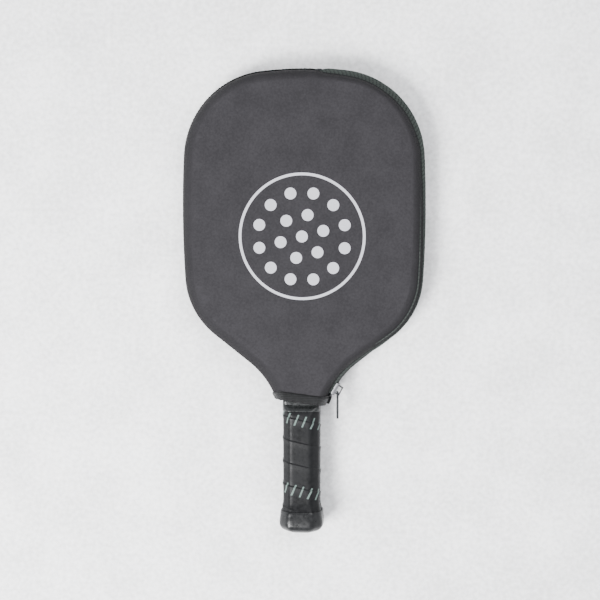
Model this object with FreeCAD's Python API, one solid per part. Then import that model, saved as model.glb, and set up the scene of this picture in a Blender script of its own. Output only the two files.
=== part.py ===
"""Zipped neoprene head cover for a court paddle, closed over the paddle it protects.

Frame: the cover lies on its back. +X is to the right as seen from the front, +Y runs
to the top of the head, +Z comes out of the front panel. Shapes are made about the paddle's
middle plane (z = 0) and lifted onto the resting surface when they are written out.
Headings are in degrees, clockwise from +X, along the outline from the top of the head.
"""
import FreeCAD, Part
import math
import os

Vector = FreeCAD.Vector

# ---------------------------------------------------------------- driving dimensions (mm)
# Paddle
paddle_length = 406.4            # top of the head to the end of the butt
paddle_width = 199.8             # widest part of the head
paddle_shift = -1.2              # the paddle lies this far to one side in the cover
core_thickness = 12.4            # honeycomb core
face_thickness = 0.8             # each hitting face
guard_wall = 1.4                 # edge guard outside the faces' edge
guard_proud = 0.8                # edge guard above the faces
guard_lap = 6.0                  # edge guard over the faces
guard_round = 3.0                # rounding of the edge guard
paddle_neck_radius = 36.0        # throat, from the flank into the handle
guard_end_rise = 24.0            # the edge guard stops this far above the grip

# Handle
grip_width = 32.8
grip_thickness = 28.0
grip_bevel = 6.9                 # corner flats of the eight-sided grip
grip_ramp = 6.6                  # slope from the throat up to the full grip
wrap_thickness = 1.6
finishing_tape_thickness = 0.35
finishing_tape_width = 5.0
butt_step_side = 2.9             # flare beyond the grip, to each side
butt_step_front = 3.25           # flare beyond the grip, to the front and back
butt_step_bevel = 1.5            # flare's corner flats beyond the grip's
butt_height = 21.0               # flared end, measured along the handle
butt_flare = 6.0                 # slope from the grip out to the flare
butt_round = 6.5                 # rounding of the end
butt_wall = 4.0                  # end of the handle block to the end of the butt

# Cover
cover_length = 295.0             # top of the head to the mouth, on the middle line
mouth_play = 2.9                 # grip's side to the binding's inside
mouth_slant = 7.0                # degrees, lower on the zip side
neoprene_thickness = 3.0
lining_thickness = 0.8
edge_play = 4.0                  # paddle's edge to the lining
face_play = 1.0                  # edge guard to the lining, front and back
round_over = 11.0                # rounding from the rim into the front and back
seam_tape_thickness = 0.5
seam_tape_width = 10.0
cuff_height = 8.0                # mouth binding
cuff_outer = 0.9                 # binding outside the neoprene
cuff_inner = 0.7                 # binding inside the lining
cuff_web = 1.2                   # binding below the raw edge
cuff_press = 0.3                 # neoprene squeezed in under the binding

# Outline of the cover's head: radii of its tangent arcs and the headings between them
top_radius = 313.0
corner_radius = 78.0
side_radius = 990.0
shoulder_radius = 69.0
neck_radius = 72.0
side_start_heading = 87.1
flank_heading = 141.7
mouth_heading = 108.0
handle_heading = 90.0

# Zip
notch_x = 12.2                   # the zip starts here at the top of the head
window_half = 5.0                # half the gap between the panels along the zip
window_lead = 1.0                # the gap starts this far before the notch
tape_depth = 1.8                 # zip tape below the outside of the neoprene
tape_thickness = 0.6
tape_edge = 1.0                  # half the gap between the two tapes
tape_reach = 8.0                 # how far the tape runs in under the panel
coil_half = 2.9                  # half the width of the closed chain
coil_gap = 0.65                  # half the gap between the two coils
coil_lift = 0.1                  # coil below the outside of the neoprene
stop_length = 1.4
end_stop_length = 4.0
stop_half = 3.4
zip_clearance = 0.3

# Slider and pull
slider_length = 11.0
slider_half = 4.2
slider_plate = 1.4
slider_lip = 1.0                 # rails of the slider beside the coils
post_half = 0.3                  # wedge between the coils
post_length = 3.0
slider_rest_gap = 0.5            # slider above the top stops when closed
bail_length = 9.0
bail_half = 0.8
bail_bar = 1.1
bail_opening = 3.2
bail_leg = 1.2
pull_length = 24.3
pull_width = 5.6
pull_thickness = 1.3
pull_eye_width = 3.8
pull_eye_length = 5.6
pull_slot_width = 2.2
pull_slot_length = 8.0
pull_end_wall = 2.0
pull_tilt = 12.0                 # degrees, the pull hangs turned about its length

# Flap of the front panel
hinge_bottom_x = -14.0           # the fold runs from the notch to here at the mouth
fold_gap = 0.4                   # between the fixed and the folding part
fold_rise = 0.4                  # fold line above the binding

# Printed mark: a perforated ball
mark_y = 60.0
mark_radius = 56.0
mark_line = 2.4
mark_hole_radius = 5.2
mark_rings = ((0, 0.0), (6, 19.5), (12, 39.0))   # holes in each ring, radius of the ring
mark_turn = 15.0                 # degrees, first hole of each ring
mark_film = 0.15

# ---------------------------------------------------------------- sizes that follow
slab_half = core_thickness / 2 + face_thickness
guard_half = slab_half + guard_proud
wall = neoprene_thickness + lining_thickness
cover_half = guard_half + face_play + wall
mouth_half_width = grip_width / 2 + mouth_play + cuff_inner + wall
rim_round = min(round_over, cover_half - face_play)
butt_half_x = grip_width / 2 + butt_step_side
butt_half_z = grip_thickness / 2 + butt_step_front
butt_bevel = grip_bevel + butt_step_bevel
paddle_inset = wall + edge_play
cover_half_width = paddle_width / 2 + paddle_inset
overall_length = paddle_length + paddle_inset
top_y = overall_length / 2
butt_y = -overall_length / 2
mouth_y = top_y - cover_length
slope = math.tan(math.radians(mouth_slant))
grip_top_y = mouth_y - grip_width / 2 * slope - cuff_inner
guard_end_y = grip_top_y + guard_end_rise
rest_height = max(butt_half_z, cover_half + cuff_outer)
fold_z = cover_half + cuff_outer + fold_rise
bevel_share = 2 - math.sqrt(2)   # corner flat's change when a section grows evenly
far = 2 * overall_length


def sin(degrees):
    return math.sin(math.radians(degrees))


def cos(degrees):
    return math.cos(math.radians(degrees))


# ---------------------------------------------------------------- outlines
class Walk:
    """Follows an outline by tangent arcs and lines, keeping the edges it has drawn."""

    def __init__(self, x, y, heading):
        self.x, self.y, self.heading = x, y, heading
        self.edges = []

    def turn(self, radius, heading, side=1):
        """Arc to a new heading; side is 1 where the shape bulges and -1 where it is hollow."""
        cx = self.x - side * radius * sin(self.heading)
        cy = self.y - side * radius * cos(self.heading)
        middle = (self.heading + heading) / 2
        points = [
            Vector(cx + side * radius * sin(h), cy + side * radius * cos(h), 0)
            for h in (self.heading, middle, heading)
        ]
        self.edges.append(Part.Arc(*points).toShape())
        self.x, self.y, self.heading = points[-1].x, points[-1].y, heading
        return Vector(cx, cy, 0)

    def run(self, length):
        start = Vector(self.x, self.y, 0)
        self.x += length * cos(self.heading)
        self.y -= length * sin(self.heading)
        self.edges.append(Part.LineSegment(start, Vector(self.x, self.y, 0)).toShape())

    def closed_face(self):
        """The outline and its mirror image, closed by a straight line at the bottom."""
        left = [edge.mirror(Vector(0, 0, 0), Vector(1, 0, 0)) for edge in self.edges]
        bottom = Part.LineSegment(Vector(-self.x, self.y, 0), Vector(self.x, self.y, 0))
        edges = self.edges + left + [bottom.toShape()]
        return Part.Face(Part.Wire(Part.__sortEdges__(edges)))


def top_heading():
    """Heading at which the top arc meets the corner, for the cover's half width."""
    side = side_radius * (1 - sin(side_start_heading))
    reach = cover_half_width - corner_radius * sin(side_start_heading) - side
    return math.degrees(math.asin(reach / (top_radius - corner_radius)))


def side_end_heading():
    """Heading at which the side arc meets the shoulder, so that the neck ends at the mouth."""
    first = top_heading()
    reached = (
        (top_radius - corner_radius) * sin(first)
        + (corner_radius - side_radius) * sin(side_start_heading)
        + (shoulder_radius + neck_radius) * sin(flank_heading)
        - neck_radius * sin(mouth_heading),
        top_y - top_radius
        + (top_radius - corner_radius) * cos(first)
        + (corner_radius - side_radius) * cos(side_start_heading)
        + (shoulder_radius + neck_radius) * cos(flank_heading)
        - neck_radius * cos(mouth_heading),
    )
    missing_x = mouth_half_width - reached[0]
    missing_y = mouth_y - reached[1]
    across = missing_x * sin(flank_heading) + missing_y * cos(flank_heading)
    turn = math.degrees(math.acos(across / (side_radius - shoulder_radius)))
    return flank_heading - turn


def head_walk(inset):
    """The head's outline down to the start of the flank, moved inwards by inset."""
    walk = Walk(0, top_y - inset, 0)
    walk.turn(top_radius - inset, top_heading())
    walk.turn(corner_radius - inset, side_start_heading)
    walk.turn(side_radius - inset, side_end_heading())
    walk.turn(shoulder_radius - inset, flank_heading)
    return walk


def flank_length(inset, radius, heading, half_width):
    """Straight flank that lets a hollow arc end at half_width with the given heading."""
    walk = head_walk(inset)
    arc = radius * (sin(flank_heading) - sin(heading))
    return (half_width - walk.x - arc) / cos(flank_heading)


def cover_walk(inset):
    walk = head_walk(inset)
    walk.run(flank_length(0, neck_radius, mouth_heading, mouth_half_width))
    walk.turn(neck_radius + inset, mouth_heading, side=-1)
    return walk


def neck_centre():
    walk = head_walk(0)
    walk.run(flank_length(0, neck_radius, mouth_heading, mouth_half_width))
    return walk.turn(neck_radius, mouth_heading, side=-1)


def cover_face(inset):
    """The cover's outline, run on past the mouth so that it can be cut off there."""
    walk = cover_walk(inset)
    walk.run(2 * cuff_height + inset)
    return walk.closed_face()


def paddle_face(inset):
    """The paddle's outline, from its edge guard inwards, down to the butt."""
    handle_half = grip_width / 2 - wrap_thickness + guard_wall
    walk = head_walk(paddle_inset + inset)
    walk.run(flank_length(paddle_inset, paddle_neck_radius, handle_heading, handle_half))
    walk.turn(paddle_neck_radius + inset, handle_heading, side=-1)
    walk.run(walk.y - butt_y - butt_wall)
    return walk.closed_face()


# ---------------------------------------------------------------- regions and helpers
def slab(face, low, high):
    """The face, made solid between two heights."""
    return face.translated(Vector(0, 0, low)).extrude(Vector(0, 0, high - low))


def block(low, high):
    size = [b - a for a, b in zip(low, high)]
    return Part.makeBox(*size, Vector(*low))


def above(z):
    return block((-far, -far, z), (far, far, far))


def below_mouth(offset):
    """Everything below the slanted mouth line, offset upwards."""
    region = block((-far, -far, -far), (far, 0, far))
    region.rotate(Vector(0, 0, 0), Vector(0, 0, 1), -mouth_slant)
    return region.translated(Vector(0, mouth_y + offset, 0))


def fold_direction():
    """Unit vector of the fold line, from the mouth to the notch."""
    line = Vector(notch_x - hinge_bottom_x, top_y - mouth_y, 0)
    return line.normalize()


def flap_side(offset):
    """Everything on the zip side of the fold line, from offset away from it."""
    along = fold_direction()
    angle = math.degrees(math.atan2(along.y, along.x)) - 90
    region = block((offset, -far, -far), (far, far, far))
    region.rotate(Vector(0, 0, 0), Vector(0, 0, 1), angle)
    return region.translated(Vector(notch_x, top_y, 0))


def zip_side(half, x=notch_x - window_lead):
    """The band along the zip, half as high to each side of the middle plane."""
    return block((x, -far, -half), (far, far, half))


def one(shape):
    """The single solid that a shape holds, or all of them where it holds several."""
    solids = shape.Solids
    return solids[0] if len(solids) == 1 else Part.makeCompound(solids)


def rounded_slab(face, half, radius):
    """The face made solid, its rim rounded everywhere but along the straight bottom edge."""
    body = slab(face, -half, half)
    bottom = body.BoundBox.YMin + 1e-3
    rim = [
        edge for edge in body.Edges
        if abs(abs(edge.CenterOfMass.z) - half) < 1e-6 and edge.BoundBox.YMax > bottom
    ]
    return body.makeFillet(radius, rim)


def rounded(inset):
    """The cover's whole body, moved inwards by inset, with its rim rounded over."""
    return rounded_slab(cover_face(inset), cover_half - inset, rim_round - inset)


def skin(outer, inner):
    """One layer of the cover, between two insets."""
    return rounded(outer).cut(rounded(inner))


# ---------------------------------------------------------------- cover
def zip_tape(shape, sign):
    """One half of the zip's tape, on the back (-1) or the front (1)."""
    low, high = sorted((sign * tape_edge, sign * tape_reach))
    return shape.common(block((notch_x, -far, low), (far, far, high)))


def fold_parts(front):
    """The fixed part and the folding part of something on the front."""
    return one(front.cut(flap_side(-fold_gap / 2))), one(front.common(flap_side(fold_gap / 2)))


def cover_parts():
    parts = {}
    raw_edge = below_mouth(cuff_web)
    cuff_top = below_mouth(cuff_height)
    tapes = skin(tape_depth, tape_depth + tape_thickness).cut(cuff_top)
    tape_back = zip_tape(tapes, -1)
    tape_front = zip_tape(tapes, 1).common(flap_side(fold_gap / 2))

    neoprene = skin(0, neoprene_thickness).cut(raw_edge).cut(zip_side(window_half))
    neoprene = neoprene.cut(zip_tape(tapes, -1)).cut(zip_tape(tapes, 1))
    neoprene = neoprene.cut(skin(-cuff_outer, cuff_press).common(cuff_top))
    parts["back_panel"] = one(neoprene.cut(above(0)))
    fixed, flap = fold_parts(neoprene.common(above(0)))
    parts["front_panel_fixed"], parts["front_panel_flap"] = fixed, flap

    lining = skin(neoprene_thickness, wall).cut(raw_edge).cut(zip_side(window_half))
    parts["back_lining"] = one(lining.cut(above(0)))
    fixed, flap = fold_parts(lining.common(above(0)))
    parts["front_lining_fixed"], parts["front_lining_flap"] = fixed, flap

    seam = skin(wall, wall + seam_tape_thickness).cut(cuff_top)
    half = seam_tape_width / 2
    seam = seam.common(block((-far, -far, -half), (notch_x - 2 * window_lead, far, half)))
    parts["seam_tape"] = one(seam.cut(flap_side(-fold_gap / 2)))

    ring = skin(-cuff_outer, wall + cuff_inner).common(cuff_top).cut(below_mouth(0))
    channel = skin(cuff_press, wall).cut(raw_edge).cut(zip_side(window_half))
    cuff = ring.cut(channel)
    front = cuff.common(above(tape_edge)).common(flap_side(fold_gap / 2))
    parts["mouth_binding_front"] = one(front)
    opened = above(-tape_edge).common(flap_side(-fold_gap / 2))
    parts["mouth_binding_back"] = one(cuff.cut(opened))

    parts["zip_tape_back"] = one(tape_back)
    parts["zip_tape_front"] = one(tape_front)
    return parts


def coil_parts():
    """The two coils, the stops at their ends and the clip that joins them at the notch."""
    parts = {}
    coils = skin(coil_lift, tape_depth)
    start = notch_x + end_stop_length
    stops_top = below_mouth(cuff_height + stop_length / cos(mouth_slant) + zip_clearance)
    for name, sign in (("back", -1), ("front", 1)):
        low, high = sorted((sign * coil_gap, sign * coil_half))
        coil = coils.common(block((start + zip_clearance, -far, low), (far, far, high)))
        parts["zip_coil_" + name] = one(coil.cut(stops_top))
        low, high = sorted((sign * coil_gap, sign * stop_half))
        stop = coils.common(block((0, -far, low), (far, far, high))).common(stops_top)
        parts["zip_top_stop_" + name] = one(stop.cut(below_mouth(cuff_height)))

    clip = skin(0, tape_depth).common(
        block((notch_x + fold_gap, 0, -stop_half), (start, far, stop_half))
    )
    room = skin(tape_depth - zip_clearance, tape_depth + 1).common(above(coil_gap))
    parts["zip_end_stop"] = one(clip.cut(room))
    return parts


# ---------------------------------------------------------------- slider and pull
def slider_rest_heading():
    """Heading of the outline at the middle of the closed slider."""
    centre = neck_centre()
    line_y = mouth_y + cuff_height + stop_length + zip_clearance + slider_rest_gap
    low, high = handle_heading, flank_heading
    for _ in range(60):
        middle = (low + high) / 2
        x = centre.x - neck_radius * sin(middle)
        y = centre.y - neck_radius * cos(middle)
        if y > line_y - x * slope:
            high = middle
        else:
            low = middle
    return middle + math.degrees(slider_length / 2 / neck_radius)


def sector(inset_low, inset_high, start, end, z_half):
    """A block that follows the neck's arc: insets from the cover's outside, then distances
    along the arc from the middle of the slider, towards the mouth."""
    centre = neck_centre()
    rest = slider_rest_heading()
    corners = []
    for inset, ends in ((inset_low, (start, end)), (inset_high, (end, start))):
        radius = neck_radius + inset
        points = []
        for along in (ends[0], (ends[0] + ends[1]) / 2, ends[1]):
            h = rest - math.degrees(along / neck_radius)
            points.append(centre - Vector(sin(h), cos(h), 0) * radius)
        corners.append(points)
    near, away = corners
    edges = [
        Part.Arc(*near).toShape(),
        Part.LineSegment(near[-1], away[0]).toShape(),
        Part.Arc(*away).toShape(),
        Part.LineSegment(away[-1], near[0]).toShape(),
    ]
    return slab(Part.Face(Part.Wire(edges)), -z_half, z_half)


def rim_drop(z, inset):
    """How far a layer's rounded rim has fallen back from its outermost line at a height."""
    rise = max(z - (cover_half - rim_round), 0)
    radius = rim_round - inset
    return radius - math.sqrt(radius ** 2 - rise ** 2)


def slider_parts():
    """Two plates joined by a wedge between the coils, with rails that let the tapes out."""
    half = slider_length / 2
    beyond = half + 1
    outside = coil_lift - zip_clearance
    tape_inside = tape_depth + tape_thickness
    inside = tape_inside + rim_drop(slider_half, tape_inside) + zip_clearance
    whole = sector(outside - slider_plate, inside + slider_plate, -half, half, slider_half)
    channel = sector(outside, inside, -beyond, beyond, slider_half - slider_lip)
    slot = sector(tape_depth - zip_clearance, inside, -beyond, beyond, slider_half + 1)
    joint = slider_plate / 2
    post = sector(outside - joint, inside + joint, half - post_length, half, post_half)
    body = whole.cut(channel).cut(slot).fuse(post).removeSplitter()

    top = outside - slider_plate
    reach = bail_length / 2
    arch = sector(top - bail_opening - bail_bar, top, -reach, reach, bail_half)
    gap = sector(top - bail_opening, top, -reach + bail_leg, reach - bail_leg, bail_half + 1)
    return {"slider_body": one(body), "slider_crown": one(arch.cut(gap))}


def pull_pivot():
    """Middle of the pull's end bar, low in the crown."""
    centre = neck_centre()
    along = bail_length / 2 - bail_leg - pull_thickness
    h = slider_rest_heading() - math.degrees(along / neck_radius)
    top = coil_lift - zip_clearance - slider_plate
    return centre - Vector(sin(h), cos(h), 0) * (neck_radius + top - bail_opening / 2)


def pull_axis():
    return Vector(sin(pull_tilt), 0, cos(pull_tilt))


def pull_parts():
    """The pull, flat in the Y-Z plane along -Y, then turned about its length."""
    half, thick = pull_width / 2, pull_thickness / 2
    tip = pull_length - half
    plate = block((-thick, -tip, -half), (thick, 0, half))
    tip_round = Part.makeCylinder(half, 2 * thick, Vector(-thick, -tip, 0), Vector(1, 0, 0))
    end_bar = Part.makeCylinder(thick, pull_width, Vector(0, 0, -half), Vector(0, 0, 1))
    eye = block(
        (-far, -pull_eye_length, -pull_eye_width / 2), (far, -thick, pull_eye_width / 2)
    )
    slot_half = pull_slot_width / 2
    low = -(pull_length - pull_end_wall - slot_half)
    high = low + pull_slot_length - pull_slot_width
    slot = block((-half, low, -slot_half), (half, high, slot_half))
    for y in (low, high):
        end = Part.makeCylinder(slot_half, pull_width, Vector(-half, y, 0), Vector(1, 0, 0))
        slot = slot.fuse(end)
    shape = plate.fuse([tip_round, end_bar]).cut(eye).fuse(end_bar).cut(slot)
    shape = shape.removeSplitter()
    shape.rotate(Vector(0, 0, 0), Vector(0, 1, 0), pull_tilt)
    return {"pull_tab": one(shape.translated(pull_pivot()))}


# ---------------------------------------------------------------- paddle
def eight_sided(half_x, half_z, bevel, y):
    """Wire of the grip's section at one place along the handle."""
    corners = []
    for sx, sz in ((1, 1), (1, -1), (-1, -1), (-1, 1)):
        ends = [(sx * (half_x - bevel), sz * half_z), (sx * half_x, sz * (half_z - bevel))]
        corners += ends if sx == sz else ends[::-1]
    points = [Vector(x, y, z) for x, z in corners]
    return Part.makePolygon(points + points[:1])


def grip_block(growth):
    """The handle's outside, grown or shrunk evenly, with its slope at the throat."""
    half_x = grip_width / 2 + growth
    half_z = grip_thickness / 2 + growth
    bevel = grip_bevel + growth * bevel_share
    length = grip_top_y - butt_y - butt_wall
    prism = Part.Face(eight_sided(half_x, half_z, bevel, grip_top_y))
    prism = prism.extrude(Vector(0, -length, 0))
    throat = slab_half + wrap_thickness + growth
    side = [
        (grip_top_y, throat), (grip_top_y - grip_ramp, half_z), (butt_y, half_z),
        (butt_y, -half_z), (grip_top_y - grip_ramp, -half_z), (grip_top_y, -throat),
    ]
    points = [Vector(-far, y, z) for y, z in side]
    profile = Part.Face(Part.makePolygon(points + points[:1])).extrude(Vector(2 * far, 0, 0))
    return prism.common(profile)


def butt_cap():
    """Flared end: sections from the grip out to the flare and round to the end."""
    steps = [(butt_height, None), (butt_height - butt_flare, 0), (butt_round, 0)]
    for angle in (30, 60, 90):
        steps.append((butt_round * (1 - sin(angle)), butt_round * (1 - cos(angle))))
    wires = []
    for height, inset in steps:
        if inset is None:
            sizes = grip_width / 2, grip_thickness / 2, grip_bevel
        else:
            bevel = butt_bevel - inset * bevel_share
            sizes = butt_half_x - inset, butt_half_z - inset, bevel
        wires.append(eight_sided(*sizes, butt_y + height))
    return Part.makeLoft(wires, True, True)


def paddle_parts():
    parts = {}
    handle = grip_block(-wrap_thickness)
    cap_top = butt_y + butt_height
    beside = block((-far, -far, -far), (far, grip_top_y, far)).cut(handle)
    plate = paddle_face(guard_wall)
    core_half = core_thickness / 2
    layers = {
        "paddle_core": (-core_half, core_half),
        "paddle_face_front": (core_half, slab_half),
        "paddle_face_back": (-slab_half, -core_half),
    }
    for name, (low, high) in layers.items():
        parts[name] = one(slab(plate, low, high).cut(beside))

    guard = rounded_slab(paddle_face(0), guard_half, guard_round)
    guard = guard.cut(slab(plate, -slab_half, slab_half))
    guard = guard.cut(slab(paddle_face(guard_wall + guard_lap), -far, far))
    parts["edge_guard"] = one(guard.common(block((-far, guard_end_y, -far), (far, far, far))))

    parts["handle_pallet_front"] = one(handle.common(above(slab_half)))
    parts["handle_pallet_back"] = one(handle.cut(above(-slab_half)))
    over_cap = block((-far, -far, -far), (far, cap_top, far))
    parts["grip_wrap"] = one(grip_block(0).cut(handle).cut(over_cap))
    band = block((-far, grip_top_y - finishing_tape_width, -far), (far, grip_top_y, far))
    tape = grip_block(finishing_tape_thickness).cut(grip_block(0))
    parts["finishing_tape"] = one(tape.common(band))
    parts["butt_cap"] = one(butt_cap().cut(handle))
    return {name: shape.translated(Vector(paddle_shift, 0, 0)) for name, shape in parts.items()}


# ---------------------------------------------------------------- printed mark
def mark_parts():
    """A ring and round spots on the front panel, cut at the fold."""
    place = Vector(0, mark_y, cover_half)
    up = Vector(0, 0, 1)
    outer = Part.makeCylinder(mark_radius, mark_film, place, up)
    shapes = [outer.cut(Part.makeCylinder(mark_radius - mark_line, mark_film, place, up))]
    for count, radius in mark_rings:
        for index in range(max(count, 1)):
            angle = 360 / max(count, 1) * index + mark_turn
            spot = place + Vector(radius * sin(angle), radius * cos(angle), 0)
            shapes.append(Part.makeCylinder(mark_hole_radius, mark_film, spot, up))
    fixed, flap = fold_parts(Part.makeCompound(shapes))
    return {"front_mark_fixed": fixed, "front_mark_flap": flap}


def main():
    os.makedirs("parts", exist_ok=True)
    parts = {}
    for group in (cover_parts, coil_parts, slider_parts, pull_parts, paddle_parts, mark_parts):
        parts.update(group())
    for name, shape in parts.items():
        shape.translated(Vector(0, 0, rest_height)).exportStep("parts/" + name + ".step")
    lift = Vector(0, 0, rest_height)
    along = fold_direction()
    print("fold passes", Vector(notch_x, top_y, fold_z) + lift, "along", along)
    print("neck centre", neck_centre() + lift, "pull pivot", pull_pivot() + lift, pull_axis())
    print("slider heading", slider_rest_heading())


main()
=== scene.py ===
"""Looks of a zipped neoprene head cover closed over the court paddle it protects.

Everything is in metres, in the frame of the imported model: the cover lies on its back, +Y runs
to the top of the head, +X to the zip side and +Z out of the front panel.
"""
import functools
import logging
import math
from collections.abc import Callable, Sequence
from dataclasses import dataclass, field
from enum import Enum

import bmesh
import bpy
from mathutils import Matrix, Vector
from mathutils.bvhtree import BVHTree
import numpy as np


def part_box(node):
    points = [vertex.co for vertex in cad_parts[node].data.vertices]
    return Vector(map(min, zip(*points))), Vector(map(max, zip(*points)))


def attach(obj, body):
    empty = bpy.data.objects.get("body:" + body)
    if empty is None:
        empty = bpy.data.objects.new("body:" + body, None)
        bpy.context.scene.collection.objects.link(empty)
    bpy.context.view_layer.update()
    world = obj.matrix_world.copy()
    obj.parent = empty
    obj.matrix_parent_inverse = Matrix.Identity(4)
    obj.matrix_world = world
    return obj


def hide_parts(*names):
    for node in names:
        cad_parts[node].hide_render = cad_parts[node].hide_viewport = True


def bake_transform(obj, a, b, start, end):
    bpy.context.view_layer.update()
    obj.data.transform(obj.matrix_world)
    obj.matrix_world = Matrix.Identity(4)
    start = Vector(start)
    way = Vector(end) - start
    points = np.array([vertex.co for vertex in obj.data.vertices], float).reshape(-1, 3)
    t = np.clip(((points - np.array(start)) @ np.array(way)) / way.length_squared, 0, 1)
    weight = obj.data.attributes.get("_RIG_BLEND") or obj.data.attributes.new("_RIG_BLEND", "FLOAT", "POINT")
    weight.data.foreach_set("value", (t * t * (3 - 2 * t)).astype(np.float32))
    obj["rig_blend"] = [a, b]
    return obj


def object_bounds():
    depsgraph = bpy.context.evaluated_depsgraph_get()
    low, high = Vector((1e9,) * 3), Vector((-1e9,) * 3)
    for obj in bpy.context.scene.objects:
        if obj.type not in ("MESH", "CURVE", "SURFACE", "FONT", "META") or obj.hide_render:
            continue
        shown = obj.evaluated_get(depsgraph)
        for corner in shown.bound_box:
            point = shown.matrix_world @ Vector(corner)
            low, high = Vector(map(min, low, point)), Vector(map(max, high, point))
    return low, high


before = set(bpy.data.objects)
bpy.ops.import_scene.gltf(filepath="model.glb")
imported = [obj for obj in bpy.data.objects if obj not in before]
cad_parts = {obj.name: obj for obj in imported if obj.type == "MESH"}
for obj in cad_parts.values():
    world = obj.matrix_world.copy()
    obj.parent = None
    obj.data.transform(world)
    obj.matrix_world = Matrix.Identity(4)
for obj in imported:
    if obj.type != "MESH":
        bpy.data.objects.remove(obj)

CAD_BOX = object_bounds()
MM = 0.001
MID_Z = (CAD_BOX[0].z + CAD_BOX[1].z) / 2
PADDLE_X = sum(corner.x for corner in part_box("butt_cap")) / 2
MOUTH_POINT = Vector((0.0, -87.9 * MM, MID_Z))
MOUTH_UP = Vector((math.sin(math.radians(7.0)), math.cos(math.radians(7.0)), 0.0))
FOLD_POINT = Vector((12.2 * MM, 207.1 * MM, MID_Z))
FOLD_AWAY = Vector((0.99608, -0.08847, 0.0))
FOLD_LEAD = 3 * MM
FOLD_LENGTH = 22 * MM
FOLD_CUTS = 16
NECK = (326 * MM, 348 * MM)
PUFF_FRAMES = 18

log = logging.getLogger("paddle_case")


class Face(Enum):
    """Which half of the cover a piece belongs to."""

    BACK = -1
    FRONT = 1


def ease(low: float, high: float, value: float) -> float:
    """Smooth step from 0 at low to 1 at high.

    Args:
        low: Value at which the step starts.
        high: Value at which the step ends.
        value: Where to read it.

    Returns:
        A share from 0 to 1.
    """
    share = min(max((value - low) / (high - low), 0.0), 1.0)
    return share * share * (3.0 - 2.0 * share)


def between(table: Sequence[tuple[float, float]], value: float) -> float:
    """Smoothly read a table of places and amounts, both in millimetres.

    Args:
        table: Pairs of place and amount, in order of place.
        value: Place in metres.

    Returns:
        The amount in metres.
    """
    place = value / MM
    if place <= table[0][0]:
        return table[0][1] * MM
    for (low, first), (high, last) in zip(table, table[1:]):
        if place <= high:
            return (first + (last - first) * ease(low, high, place)) * MM
    return table[-1][1] * MM


# ---------------------------------------------------------------- shader nodes
class Weaver:
    """Short way to add and join shader nodes in one tree."""

    def __init__(self, tree: bpy.types.NodeTree) -> None:
        """Keep the tree.

        Args:
            tree: Node tree of a material or a group.
        """
        self.tree = tree

    def add(self, kind: str, inputs: dict | None = None, **settings: object) -> bpy.types.Node:
        """Add a node.

        Args:
            kind: Node type without its ShaderNode prefix.
            inputs: Socket names or numbers with a value, or a socket to link from.
            settings: Properties of the node.

        Returns:
            The new node.
        """
        node = self.tree.nodes.new("ShaderNode" + kind)
        for name, value in settings.items():
            setattr(node, name, value)
        for name, value in (inputs or {}).items():
            self.feed(node.inputs[name], value)
        return node

    def feed(self, socket: bpy.types.NodeSocket, value: object) -> None:
        """Link a socket, or set its own value.

        Args:
            socket: Input to feed.
            value: Output socket or plain value.
        """
        if isinstance(value, bpy.types.NodeSocket):
            self.tree.links.new(value, socket)
        else:
            socket.default_value = value

    def math(self, operation: str, *values: object) -> bpy.types.NodeSocket:
        """Add a Math node.

        Args:
            operation: Name of the operation.
            values: Its inputs, in order.

        Returns:
            Its output.
        """
        node = self.add("Math", dict(enumerate(values)), operation=operation)
        return node.outputs[0]

    def blend(self, share: object, first: object, last: object) -> bpy.types.NodeSocket:
        """Mix two colours.

        Args:
            share: Mask from 0 to 1.
            first: Colour at 0.
            last: Colour at 1.

        Returns:
            The mixed colour.
        """
        node = self.add("Mix", data_type="RGBA")
        self.feed(node.inputs[0], share)
        self.feed(node.inputs[6], first)
        self.feed(node.inputs[7], last)
        return node.outputs[2]

    def spread(self, value: object, low: float, high: float) -> bpy.types.NodeSocket:
        """Stretch a value from 0..1 to low..high.

        Args:
            value: Socket to read.
            low: Result at 0.
            high: Result at 1.

        Returns:
            The stretched value.
        """
        return self.add("MapRange", {"Value": value, "To Min": low, "To Max": high}).outputs[0]

    def bump(self, height: object, distance: float) -> bpy.types.NodeSocket:
        """Turn a height into a normal.

        Args:
            height: Height from 0 to 1.
            distance: Real height in metres of a height of 1.

        Returns:
            The normal.
        """
        node = self.add("Bump", {"Height": height, "Distance": distance, "Strength": 1.0})
        return node.outputs[0]


def start_group(name: str, inputs: dict[str, str], outputs: dict[str, str]) -> Weaver:
    """Start a shader node group with named sockets.

    Args:
        name: Name of the group.
        inputs: Input names with their kind, such as Float or Vector.
        outputs: Output names with their kind.

    Returns:
        A weaver on the group's tree, which holds nodes named in and out.
    """
    tree = bpy.data.node_groups.new(name, "ShaderNodeTree")
    for direction, sockets in (("INPUT", inputs), ("OUTPUT", outputs)):
        for label, kind in sockets.items():
            tree.interface.new_socket(label, in_out=direction, socket_type="NodeSocket" + kind)
    tree.nodes.new("NodeGroupInput").name = "in"
    tree.nodes.new("NodeGroupOutput").name = "out"
    return Weaver(tree)


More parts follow.
